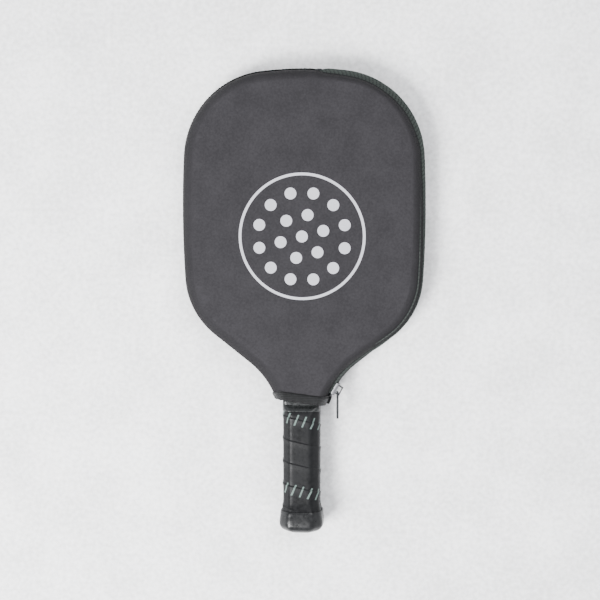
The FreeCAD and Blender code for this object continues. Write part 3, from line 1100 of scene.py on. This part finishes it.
def puff(piece: bpy.types.Object, held: Callable[[Vector], float], pressure: float,
         cap: float) -> None:
    """Blow a panel up a little as cloth, so that it crowns and ripples.

    Args:
        piece: Open panel.
        held: How far a point is held, from 0 to 1.
        pressure: Pressure inside.
        cap: Furthest that a point may move.
    """
    group = piece.vertex_groups.new(name="held")
    before = [v.co.copy() for v in piece.data.vertices]
    for v in piece.data.vertices:
        group.add([v.index], held(v.co), "REPLACE")
    cloth = piece.modifiers.new("cloth", "CLOTH")
    for setting, value in (
            ("quality", 5), ("mass", 0.3), ("tension_stiffness", 12),
            ("compression_stiffness", 12), ("shear_stiffness", 6), ("bending_stiffness", 2.0),
            ("vertex_group_mass", "held"), ("shrink_min", -0.006), ("use_pressure", True),
            ("uniform_pressure_force", pressure)):
        setattr(cloth.settings, setting, value)
    cloth.settings.effector_weights.gravity = 0
    cloth.collision_settings.use_collision = False
    cloth.collision_settings.use_self_collision = False
    cloth.point_cache.frame_start, cloth.point_cache.frame_end = 1, PUFF_FRAMES
    for frame_number in range(1, PUFF_FRAMES + 1):
        bpy.context.scene.frame_set(frame_number)
    settle(piece)
    bpy.context.scene.frame_set(1)
    for v, start in zip(piece.data.vertices, before):
        moved = v.co - start
        if moved.length > cap:
            v.co = start + moved * (cap / moved.length)
    bm = bmesh.new()
    bm.from_mesh(piece.data)
    inner = [v for v in bm.verts if held(v.co) < 0.5]
    for _ in range(3):
        bmesh.ops.smooth_vert(bm, verts=inner, factor=0.5, use_axis_x=True, use_axis_y=True,
                              use_axis_z=True)
    bm.to_mesh(piece.data)
    bm.free()
    piece.data.shade_smooth()


# ---------------------------------------------------------------- the cover
FRONT_RETREAT = (
    (-150.0, 0.1), (-60.0, 1.2), (4.0, 1.2), (12.0, 1.6), (22.0, 3.3), (42.0, 4.2), (80.0, 4.5),
    (118.0, 3.8), (150.0, 2.2), (200.0, 1.2), (257.0, 0.5), (315.0, 0.4), (350.0, 2.4),
    (376.0, 3.0),
)
BACK_RETREAT = ((-60.0, 0.0), (6.0, 0.2), (34.0, 0.6), (376.0, 0.6))


@dataclass
class CoverShell:
    """The two padded panels and what is sewn to them."""

    neoprene: float = 3.0 * MM
    lining: float = 0.6 * MM
    window: float = 5.0 * MM
    seam_tape_half: float = 5.0 * MM
    pressure: float = 0.9
    swell: float = 1.6 * MM
    cut_edge: float = 0.5 * MM
    zip_starts: float = 13.0 * MM
    seam_ends: float = 9.0 * MM
    made: list[bpy.types.Object] = field(default_factory=list)

    def panels(self) -> None:
        """The front panel bends at the fold; the back panel stays with the case."""
        for face, retreat in ((Face.FRONT, FRONT_RETREAT), (Face.BACK, BACK_RETREAT)):
            layer = Layer(face, 0.0, self.window, retreat)
            name = f"{face.name.lower()}_panel_pad"
            piece = to_object(name, layer.build(), NEOPRENE)
            puff(piece, self.held, self.pressure, self.swell)
            self.trim(piece, face)
            thicken(piece, self.neoprene, self.cut_edge)
            if face is Face.FRONT:
                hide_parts("front_panel_fixed", "front_panel_flap")
            else:
                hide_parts("back_panel")
            self.made.append(hold(piece, face))

    def held(self, place: Vector) -> float:
        """How far a point of a panel is held by the rim and the paddle inside."""
        rise = abs(place.z - MID_Z)
        near_mouth = 1 - ease(10 * MM, 40 * MM, (place - MOUTH_POINT).dot(MOUTH_UP))
        return max(1 - ease(11.2 * MM, 12.5 * MM, rise), near_mouth)

    def trim(self, piece: bpy.types.Object, face: Face) -> None:
        """Piping and stitches along the panel's edges.

        Args:
            piece: The panel, still a surface.
            face: Which panel.
        """
        bm = bmesh.new()
        bm.from_mesh(piece.data)
        along = bm.verts.layers.float["along"]
        edge = bm.verts.layers.float["edge"]
        rim = [e for e in bm.edges if e.is_boundary and all(v[edge] > 0.999 for v in e.verts)]
        path = chain(rim)
        if path[0][along] < path[-1][along]:
            path.reverse()
        zip_part = [v for v in path if v[along] > self.zip_starts]
        inward = face.value * 0.5 * MM
        line = [v.co + Vector((0, 0, inward)) - v.normal * (0.5 * MM) for v in zip_part]
        # The piping's dark colour partly paints the shade in the gap between panel and tape.
        piping = tube(f"edge_piping_{face.name.lower()}", line, 0.75 * MM, PIPING)
        rows = row_of(f"edge_stitches_{face.name.lower()}",
                      bead((1.7 * MM, 0.45 * MM, 0.4 * MM), 0.12 * MM),
                      walk_verts(zip_part, 2.6 * MM), THREAD,
                      lambda index: (0.12, -face.value * 2.2 * MM, 0.02 * MM))
        for part in (piping, rows):
            self.made.append(hold(part, face))
        if face is Face.BACK:
            sewn = [v for v in path if v[along] < self.seam_ends]
            seam = row_of("seam_stitches", bead((2.4 * MM, 0.5 * MM, 0.4 * MM), 0.12 * MM),
                          walk_verts(sewn, 1.5 * MM), THREAD,
                          lambda index: (0.95 if index % 2 else -0.95, 0.0, 0.05 * MM))
            self.made.append(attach(seam, "case"))
        bm.free()

    def linings(self) -> None:
        """Brushed lining behind each panel."""
        less = tuple((place, amount * 0.7) for place, amount in FRONT_RETREAT)
        for face, retreat in ((Face.FRONT, less), (Face.BACK, BACK_RETREAT)):
            layer = Layer(face, self.neoprene + 0.15 * MM, self.window + 2 * MM, retreat,
                          rows=5, cell=9 * MM, spacing=4 * MM)
            bm = layer.build()
            piece = to_object(f"{face.name.lower()}_lining_cloth", bm, LINING)
            thicken(piece, self.lining)
            if face is Face.FRONT:
                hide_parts("front_lining_fixed", "front_lining_flap")
            else:
                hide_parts("back_lining")
            self.made.append(hold(piece, face))

    def seam(self) -> None:
        """Narrow tape inside over the sewn seam."""
        shares = (-1.0, -0.33, 0.33, 1.0)

        def place(row: int, along: float) -> tuple[float, float, float]:
            """Row of the tape, closest to the seam in its middle."""
            rise = shares[row] * self.seam_tape_half
            return (4.0 + 0.25 * abs(shares[row])) * MM, rise, rise

        bm, length = strip(4 * MM, -388 * MM, 8 * MM, len(shares), place)
        piece = thicken(to_object("seam_tape_strip", bm, SEAM), 0.4 * MM)
        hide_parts("seam_tape")
        self.made.append(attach(piece, "case"))


@dataclass
class MouthCuff:
    """Elastic binding folded over the raw edge of the mouth."""

    height: float = 8.0 * MM
    outer: float = 0.9 * MM
    wall: float = 5.4 * MM
    gap: float = 1.0 * MM
    stitched: float = 6.8 * MM
    levels: tuple[float, ...] = (1.2, 2.4, 3.6, 4.8, 6.0, 6.8, 7.4)
    crown: float = 0.28 * MM
    pinch: float = 0.5 * MM
    gather: float = 0.12 * MM
    scallop: float = 0.3 * MM
    made: list[bpy.types.Object] = field(default_factory=list)

    def wave(self, v: bmesh.types.BMVert) -> None:
        """Scallop the lower edge and pull the top in at its stitches.

        Args:
            v: A point of the cuff's outside.
        """
        rise = (v.co - MOUTH_POINT).dot(MOUTH_UP)
        share = rise / self.height
        place = v.co.x + 0.6 * v.co.z
        ripple = math.sin(place / (1.15 * MM)) + 0.6 * math.sin(place / (2.6 * MM) + 1.0)
        v.co += v.normal * (self.crown * math.sin(math.pi * share)
                            - self.pinch * ease(0.72, 1, share))
        v.co += v.normal * (ripple * self.gather * (1 - share))
        v.co += MOUTH_UP * (ripple * self.scallop * (1 - ease(0.0, 0.5, share)))

    def build(self) -> None:
        """Both halves with their stitches."""
        for face in Face:
            layer = Layer(face, -self.outer, self.gap, FRONT_RETREAT if face is Face.FRONT
                          else BACK_RETREAT, spacing=1.2 * MM, rows=12, cell=1.3 * MM,
                          band=self.height)
            bm = layer.build()
            for level in self.levels:
                slice_at(bm, MOUTH_POINT + MOUTH_UP * level * MM, MOUTH_UP)
            bm.normal_update()
            for v in bm.verts:
                self.wave(v)
            # Edge values of painted shade: full in the crease at the cuff's top under the panel, partial at
            # its lower edge.
            edge = bm.verts.layers.float["edge"]
            for v in bm.verts:
                rise = (v.co - MOUTH_POINT).dot(MOUTH_UP)
                v[edge] = max(ease(6.4 * MM, 8 * MM, rise), 0.6 * (1 - ease(0, 1.2 * MM, rise)))
            self.stitches(bm, face)
            name = f"mouth_cuff_{face.name.lower()}"
            piece = thicken(to_object(name, bm, BINDING), self.wall, 0.7 * MM)
            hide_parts(f"mouth_binding_{face.name.lower()}")
            self.made.append(hold(piece, face))

    def stitches(self, bm: bmesh.types.BMesh, face: Face) -> None:
        """A row of stitches just below the cuff's top.

        Args:
            bm: The cuff's outside.
            face: Which half.
        """
        bm.normal_update()
        level = MOUTH_POINT + MOUTH_UP * self.stitched
        on_line = [e for e in bm.edges
                   if all(abs((v.co - level).dot(MOUTH_UP)) < 0.06 * MM for v in e.verts)]
        path = chain(on_line)
        row = row_of(f"cuff_stitches_{face.name.lower()}",
                     bead((1.2 * MM, 0.6 * MM, 0.5 * MM), 0.15 * MM),
                     walk_verts(path, 1.7 * MM), THREAD, lambda index: (0.6, 0.0, 0.1 * MM))
        self.made.append(hold(row, face))


@dataclass
class ZipLine:
    """Woven tapes and nylon teeth from the notch at the top to the mouth."""

    start: float = 14.0 * MM
    end: float = 391.0 * MM
    tape: float = 0.6 * MM
    row_width: float = 1.9 * MM
    pitch: float = 1.45 * MM
    first_tooth: float = 17.0 * MM
    last_tooth: float = 385.6 * MM
    tooth_lean: float = 0.16
    tooth_offset: float = 1.0 * MM
    made: list[bpy.types.Object] = field(default_factory=list)

    def section(self, along: float, retreat: float) -> list[tuple[float, float]]:
        """Inset and rise of the tape, from under the panel to the teeth.

        Args:
            along: Distance along the outline.
            retreat: How far the panel's edge lies back there.

        Returns:
            Six points.
        """
        proud = 1 - ease(*NECK, along)
        proud *= ease(self.start - 1 * MM, self.start + 9 * MM, along)
        near = 1.9 * MM
        return [
            (retreat + 3.0 * MM, 10.2 * MM - 0.4 * retreat),
            (retreat + 1.9 * MM, 7.4 * MM),
            (retreat + 1.2 * MM, 5.6 * MM),
            (near + proud * (0.42 * retreat - 1.6 * MM), 3.9 * MM),
            (near - 0.5 * MM - proud * 1.8 * MM, 2.7 * MM),
            (near - 0.9 * MM - proud * 1.0 * MM, 1.7 * MM),
        ]

    def tapes(self) -> None:
        """Both tapes, as narrow sheets."""
        for face, retreat in ((Face.FRONT, FRONT_RETREAT), (Face.BACK, BACK_RETREAT)):
            def place(row: int, along: float) -> tuple[float, float, float]:
                """Row of this half's tape."""
                inset, rise = self.section(along, between(retreat, along))[row]
                return inset, face.value * rise, self.row_width * row

            bm, length = strip(2.0 * MM, self.start, self.end, 6, place)
            out = bm.faces[:][0]
            if out.normal.dot(out.calc_center_median() - Vector((0, 0, MID_Z))) < 0:
                bmesh.ops.reverse_faces(bm, faces=bm.faces[:])
            bmesh.ops.subdivide_edges(bm, edges=bm.edges[:], cuts=1, smooth=0.6,
                                      use_grid_fill=True)
            piece = thicken(to_object(f"zip_tape_strip_{face.name.lower()}", bm, TAPE), self.tape)
            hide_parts(f"zip_tape_{face.name.lower()}")
            self.made.append(hold(piece, face))

    def teeth(self) -> None:
        """Bars of the two coils, one half pitch apart."""
        bm = HeadOutline().trace(1.5 * MM)
        home, away = (bm.verts.layers.float_vector[n] for n in ("home", "away"))
        along = bm.verts.layers.float["along"]
        path = sorted((v for v in bm.verts if self.first_tooth < v[along] < self.last_tooth),
                      key=lambda v: v[along])
        lift = [1.0 * MM - 0.25 * MM * ease(*NECK, v[along]) for v in path]
        points = [v[home] - v[away] * depth + Vector((0, 0, MID_Z))
                  for v, depth in zip(path, lift)]
        normals = [v[away].copy() for v in path]
        bm.free()
        stops = walk(points, normals, self.pitch)
        for face in Face:
            phase = self.pitch * 0.25 * face.value
            moved = [Stop(s.place + s.forward * phase, s.normal, s.forward) for s in stops]
            across = -face.value * self.tooth_offset
            piece = row_of(f"zip_teeth_{face.name.lower()}",
                           bead((2.5 * MM, 0.62 * MM, 1.1 * MM), 0.2 * MM), moved, COIL,
                           lambda index: (math.pi / 2 + self.tooth_lean, across, 0.0))
            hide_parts(f"zip_coil_{face.name.lower()}")
            self.made.append(hold(piece, face))


@dataclass
class ZipHardware:
    """Slider, crown and pull with their edges softened, and the stops."""

    soft: float = 0.22 * MM
    made: list[bpy.types.Object] = field(default_factory=list)

    def soften(self, node: str, name: str, body: str, finish: Finish,
               width: float) -> None:
        """Rounded copy of a hard part.

        Args:
            node: CAD node to follow.
            name: Name of the piece.
            body: Body it rides on.
            finish: Its finish.
            width: Rounding of its edges.
        """
        bm = bmesh.new()
        bm.from_mesh(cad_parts[node].data)
        bmesh.ops.remove_doubles(bm, verts=bm.verts[:], dist=1e-6)
        bmesh.ops.dissolve_limit(bm, angle_limit=math.radians(1.0), verts=bm.verts[:],
                                 edges=bm.edges[:])
        piece = to_object(name, bm, finish)
        bevel = piece.modifiers.new("edge", "BEVEL")
        bevel.width = width
        bevel.segments = 3
        bevel.limit_method = "ANGLE"
        bevel.angle_limit = math.radians(40)
        bevel.harden_normals = True
        settle(piece)
        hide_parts(node)
        self.made.append(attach(piece, body))

    def build(self) -> None:
        """All the metal."""
        self.soften("slider_body", "slider_shell", "slider", SILVER, self.soft)
        self.soften("slider_crown", "slider_bail", "slider", GUNMETAL, self.soft)
        self.soften("pull_tab", "pull_plate", "pull", GUNMETAL, 0.16 * MM)
        dress("zip_end_stop", GUNMETAL)
        for node in ("zip_top_stop_back", "zip_top_stop_front"):
            dress(node, COIL)


@dataclass
class BallMark:
    """Printed ring and round spots of a perforated ball."""

    centre_y: float = 60.0 * MM
    radius: float = 56.0 * MM
    line: float = 2.4 * MM
    hole: float = 5.2 * MM
    rings: tuple[tuple[int, float], ...] = ((1, 0.0), (6, 19.5 * MM), (12, 39.0 * MM))
    turn: float = 15.0
    lift: float = 0.12 * MM
    film: float = 0.1 * MM
    ring_steps: int = 160
    hole_steps: int = 32
    hole_insets: tuple[float, ...] = (0.12 * MM, 1.6 * MM, 1.7 * MM)

    def build(self, panel: bpy.types.Object) -> bpy.types.Object:
        """Lay the film over the front panel.

        Args:
            panel: The finished front panel.

        Returns:
            The piece.
        """
        bm = bmesh.new()
        centre = Vector((0.0, self.centre_y, 0.0))
        across = [bm.verts.new(centre + Vector((self.radius - share * self.line, 0, 0)))
                  for share in (0.0, 0.06, 0.5, 0.94, 1.0)]
        edges = [bm.edges.new(pair) for pair in zip(across, across[1:])]
        bmesh.ops.spin(bm, geom=edges, cent=centre, axis=(0, 0, 1), angle=2 * math.pi,
                       steps=self.ring_steps, use_merge=True)
        for count, radius in self.rings:
            for index in range(count):
                angle = math.radians(360 / count * index + self.turn)
                spot = centre + Vector((math.sin(angle), math.cos(angle), 0)) * radius
                made = bmesh.ops.create_circle(bm, cap_ends=True, segments=self.hole_steps,
                                               radius=self.hole,
                                               matrix=Matrix.Translation(spot))
                disc = list({f for u in made["verts"] for f in u.link_faces})
                for inset in self.hole_insets:
                    bmesh.ops.inset_region(bm, faces=disc, thickness=inset)
        bmesh.ops.recalc_face_normals(bm, faces=bm.faces[:])
        cloth = bm.verts.layers.float_vector.new("cloth")
        skin = BVHTree.FromObject(panel, bpy.context.evaluated_depsgraph_get())
        for u in bm.verts:
            u[cloth] = u.co
            u.co.z = MID_Z + RimSection.half
            u.co.z = skin.find_nearest(u.co)[0].z + self.lift
        for f in bm.faces:
            if f.normal.z < 0:
                f.normal_flip()
        piece = thicken(to_object("ball_mark", bm, PRINT), self.film)
        piece.data.shade_flat()
        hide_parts("front_mark_fixed", "front_mark_flap")
        return bend(piece)


# ---------------------------------------------------------------- the paddle
def dress(node: str, finish: Finish) -> None:
    """Give a CAD part its finish.

    Args:
        node: Name of the part.
        finish: The finish.
    """
    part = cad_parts[node]
    for slot in part.material_slots:
        slot.material = material_of(finish)


@dataclass
class Handle:
    """Wrapped eight-sided handle with its finishing band and flared end."""

    top: float = -90.61 * MM
    ramp: float = 6.6 * MM
    wide: float = 16.4 * MM
    deep: float = 14.0 * MM
    bevel: float = 6.9 * MM
    throat: float = 8.6 * MM
    cap_top: float = -186.1 * MM
    end: float = -207.1 * MM
    flare: tuple[float, float, float] = (2.9 * MM, 3.25 * MM, 1.5 * MM)
    dome: float = 9.0 * MM
    pitch: float = 20.5 * MM
    seam: float = -108.5 * MM
    around: float = 104.0 * MM
    sides: int = 96
    made: list[bpy.types.Object] = field(default_factory=list)

    def sizes(self, y: float) -> tuple[float, float, float]:
        """Half width, half depth and bevel at a place along the handle.

        Args:
            y: Place along the handle.

        Returns:
            The three sizes.
        """
        out = ease(self.cap_top + 9 * MM, self.cap_top - 10 * MM, y)
        wide, deep, bevel = (size + more * out for size, more in
                             zip((self.wide, self.deep, self.bevel), self.flare))
        left = min(max((y - self.end) / self.dome, 0.02), 1.0)
        share = math.sqrt(1 - (1 - left) ** 2.2)
        return wide * share, deep * share, bevel * share

    def reach(self, turn: float, y: float, grow: float) -> Vector:
        """Point on the handle's outside.

        Args:
            turn: Share of a full turn from +X towards +Z.
            y: Place along the handle.
            grow: How far the point stands out.

        Returns:
            The point.
        """
        wide, deep, bevel = self.sizes(y)
        c, s = math.cos(turn * 2 * math.pi), math.sin(turn * 2 * math.pi)
        corner = wide + deep - bevel
        ramp = min(max((self.top - y) / self.ramp, 0.0), 1.0)
        deep = self.throat + (deep - self.throat) * ramp
        limits = (abs(c) / wide, abs(s) / deep, (abs(c) + abs(s)) / corner)
        power = 26
        radius = sum(limit ** power for limit in limits) ** (-1 / power) + grow
        return Vector((PADDLE_X + c * radius, y, MID_Z + s * radius))

    def sleeve(self, levels: Sequence[float], shear: float,
               grow: Callable[[float, float], float]) -> bmesh.types.BMesh:
        """Skin round the handle, level by level.

        Args:
            levels: Places along the handle, from the top.
            shear: Rise of each level over one turn.
            grow: How far a point stands out, by level and place.

        Returns:
            The open sleeve.
        """
        bm = bmesh.new()
        turn, cloth = bm.verts.layers.float.new("turn"), bm.verts.layers.float_vector.new("cloth")
        seed = bm.verts.new((1.0, 0.0, 0.0))
        bmesh.ops.spin(bm, geom=[seed], cent=(0, 0, 0), axis=(0, 1, 0), angle=-2 * math.pi,
                       steps=self.sides)
        bm.verts.ensure_lookup_table()
        for index, v in enumerate(bm.verts):
            v[turn] = index / self.sides
        edges = bm.edges[:]
        for number, level in enumerate(levels):
            verts, edges = (bm.verts[:], edges) if number == 0 else extrude_edges(bm, edges)
            for v in verts:
                y = level + shear * v[turn]
                v.co = self.reach(v[turn], max(y, self.end), grow(level, y))
                v[cloth] = Vector((v[turn] * self.around, y, 0.0))
        return bm

    def lap(self, share: float) -> float:
        """Height of the wrap, by share of a turn below its edge."""
        return (0.62 * math.exp(-(share / 0.13) ** 2) - 0.12 * ease(0.9, 1.0, share)) * MM

    def wrap(self) -> None:
        """Spiral wrap with overlapping edges."""
        shares = (0.0, 0.012, 0.05, 0.1, 0.16, 0.24, 0.34, 0.46, 0.58, 0.7, 0.8, 0.88, 0.94,
                  0.985)
        levels = [self.seam + self.pitch * (1 - lap_number) - share * self.pitch
                  for lap_number in range(-1, 6) for share in shares]

        def grow(level: float, y: float) -> float:
            """Lap of the wrap, thinner under the finishing band."""
            share = ((self.seam - level) / self.pitch) % 1.0
            quiet = ease(self.top - 1 * MM, self.top - 9 * MM, y)
            quiet *= ease(self.cap_top - 1 * MM, self.cap_top + 7 * MM, y)
            return self.lap(share if share < 0.999 else 0.0) * quiet

        bm = self.sleeve(levels, self.pitch, grow)
        bmesh.ops.remove_doubles(bm, verts=bm.verts[:], dist=0.02 * MM)
        for y, side in ((self.top, 1), (self.cap_top - 1.5 * MM, -1)):
            slice_at(bm, Vector((0, y, 0)), Vector((0, side, 0)), outer=True)
        self.finish("grip_spiral", bm, GRIP, "grip", "grip_wrap", 1.2 * MM)

    def finish(self, name: str, bm: bmesh.types.BMesh, finish: Finish, slot: str, node: str,
               wall: float) -> None:
        """Close a sleeve and hand it over.

        Args:
            name: Name of the piece.
            bm: The sleeve.
            finish: Its finish.
            slot: Material slot of the record; not used.
            node: CAD node it stands for.
            wall: Its thickness, or 0 for a closed shape.
        """
        bmesh.ops.recalc_face_normals(bm, faces=bm.faces[:])
        probe = max(bm.faces, key=lambda f: f.calc_center_median().z)
        if probe.normal.z < 0:
            bmesh.ops.reverse_faces(bm, faces=bm.faces[:])
        piece = to_object(name, bm, finish)
        if wall:
            thicken(piece, wall)
        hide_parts(node)
        self.made.append(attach(piece, "paddle"))

    def band(self) -> None:
        """Vinyl band over the wrap's upper end."""
        levels = [self.top - step * MM for step in (-6.0, -3.0, -0.8, 0.0, 1.2, 2.6, 4.0, 4.9, 5.2)]
        heights = dict(zip(levels, (0.3, 0.4, 0.42, 0.45, 0.45, 0.42, 0.45, 0.42, 0.05)))
        bm = self.sleeve(levels, 0.0, lambda level, y: heights[level] * MM)
        bmesh.ops.remove_doubles(bm, verts=bm.verts[:], dist=0.01 * MM)
        self.finish("finishing_band", bm, VINYL, "grip_tape", "finishing_tape", 0.3 * MM)

    def butt(self) -> None:
        """Flared end with the last turn of the wrap, closed by a rounded end."""
        low = self.end + self.dome
        steps = [self.cap_top - step * MM for step in (0, 1, 2, 3.5, 5, 6.5, 8, 9.5, 11)]
        steps += [self.end + step * MM for step in (9, 7.6, 6.3, 5.1, 4.0, 3.0, 2.2, 1.5, 0.95,
                                                    0.5, 0.2)]

        def grow(level: float, y: float) -> float:
            """Edge of the cap over the wrap, and a soft fold near its end."""
            edge = 0.5 * math.exp(-((y - self.cap_top + 1.2 * MM) / (1.6 * MM)) ** 2)
            fold = 0.25 * math.exp(-((y - low + 3 * MM) / (0.8 * MM)) ** 2)
            return (0.35 + edge - fold) * MM * ease(self.end, self.end + 2 * MM, y)

        bm = self.sleeve(steps, 0.0, grow)
        bmesh.ops.remove_doubles(bm, verts=bm.verts[:], dist=0.01 * MM)
        rim = [e for e in bm.edges if e.is_boundary and e.verts[0].co.y < low]
        bmesh.ops.contextual_create(bm, geom=rim)
        self.finish("butt_flare", bm, BUTT, "butt_plastic", "butt_cap", 0.0)

    def build(self) -> None:
        """The whole handle."""
        self.wrap()
        self.band()
        self.butt()


@dataclass
class PaddleHead:
    """Hard parts of the paddle, which keep their CAD shapes."""

    finishes: tuple[tuple[str, Finish], ...] = (
        ("paddle_core", CORE), ("paddle_face_front", CARBON), ("paddle_face_back", CARBON),
        ("edge_guard", GUARD), ("handle_pallet_front", FOAM), ("handle_pallet_back", FOAM),
    )

    def build(self) -> None:
        """Dress each part."""
        for node, finish in self.finishes:
            dress(node, finish)


# ---------------------------------------------------------------- studio
@dataclass
class Studio:
    """Pale floor, soft lights and the camera."""

    aim: Vector = field(default_factory=lambda: Vector((-2.9 * MM, 2.9 * MM, MID_Z)))
    distance: float = 1.262
    lens: float = 85.0
    from_right: float = 5.5
    from_top: float = 5.0

    def floor(self) -> None:
        """A pale floor."""
        bm = bmesh.new()
        bmesh.ops.create_grid(bm, x_segments=2, y_segments=2, size=6.0,
                              matrix=Matrix.Translation((0, 0, -0.6 * MM)))
        to_object("studio_floor", bm, Finish("pale_floor", (0.9, 0.9, 0.9), 0.8))

    def lamp(self, name: str, place: Vector, size: float, power: float) -> None:
        """A soft square lamp aimed at the object.

        Args:
            name: Name of the lamp.
            place: Where it hangs.
            size: Length of its side.
            power: Watts.
        """
        light = bpy.data.lights.new(name, "AREA")
        light.size, light.energy = size, power
        holder = bpy.data.objects.new(name, light)
        holder.location = place
        holder.rotation_euler = (self.aim - place).to_track_quat("-Z", "Y").to_euler()
        bpy.context.scene.collection.objects.link(holder)

    def build(self) -> None:
        """Floor, lights, world and camera."""
        self.floor()
        self.lamp("key", Vector((-0.85, -0.75, 1.35)), 0.8, 88.0)
        self.lamp("fill", Vector((0.75, 0.8, 1.5)), 1.1, 24.0)
        world = bpy.data.worlds.new("studio")
        world.use_nodes = True
        background = world.node_tree.nodes["Background"]
        background.inputs["Color"].default_value = (0.93, 0.95, 1.0, 1.0)
        background.inputs["Strength"].default_value = 1.15
        bpy.context.scene.world = world
        camera = bpy.data.cameras.new("studio_camera")
        camera.lens = self.lens
        holder = bpy.data.objects.new("studio_camera", camera)
        side, up = math.radians(self.from_right), math.radians(self.from_top)
        outward = Vector((math.sin(side), math.sin(up), 0.0))
        outward.z = math.sqrt(1 - outward.length_squared)
        holder.location = self.aim + outward * self.distance
        look = -outward
        right = look.cross(Vector((0, 1, 0))).normalized()
        upward = right.cross(look)
        holder.matrix_world = Matrix.Translation(holder.location) @ Matrix(
            (right, upward, -look)).transposed().to_4x4()
        bpy.context.scene.collection.objects.link(holder)
        bpy.context.scene.camera = holder


def main() -> None:
    """Build every sub-assembly in order and report its pieces."""
    logging.basicConfig(level=logging.INFO, format="%(name)s: %(message)s")
    Studio().build()
    shell = CoverShell()
    shell.panels()
    shell.linings()
    shell.seam()
    cuff = MouthCuff()
    cuff.build()
    zipper = ZipLine()
    zipper.tapes()
    zipper.teeth()
    metal = ZipHardware()
    metal.build()
    mark = BallMark().build(bpy.data.objects["front_panel_pad"])
    handle = Handle()
    handle.build()
    PaddleHead().build()
    for piece in (*shell.made, *cuff.made, *zipper.made, *metal.made, mark, *handle.made):
        log.info("%s: %d faces", piece.name, len(piece.data.polygons))


if __name__ == "__main__":
    main()
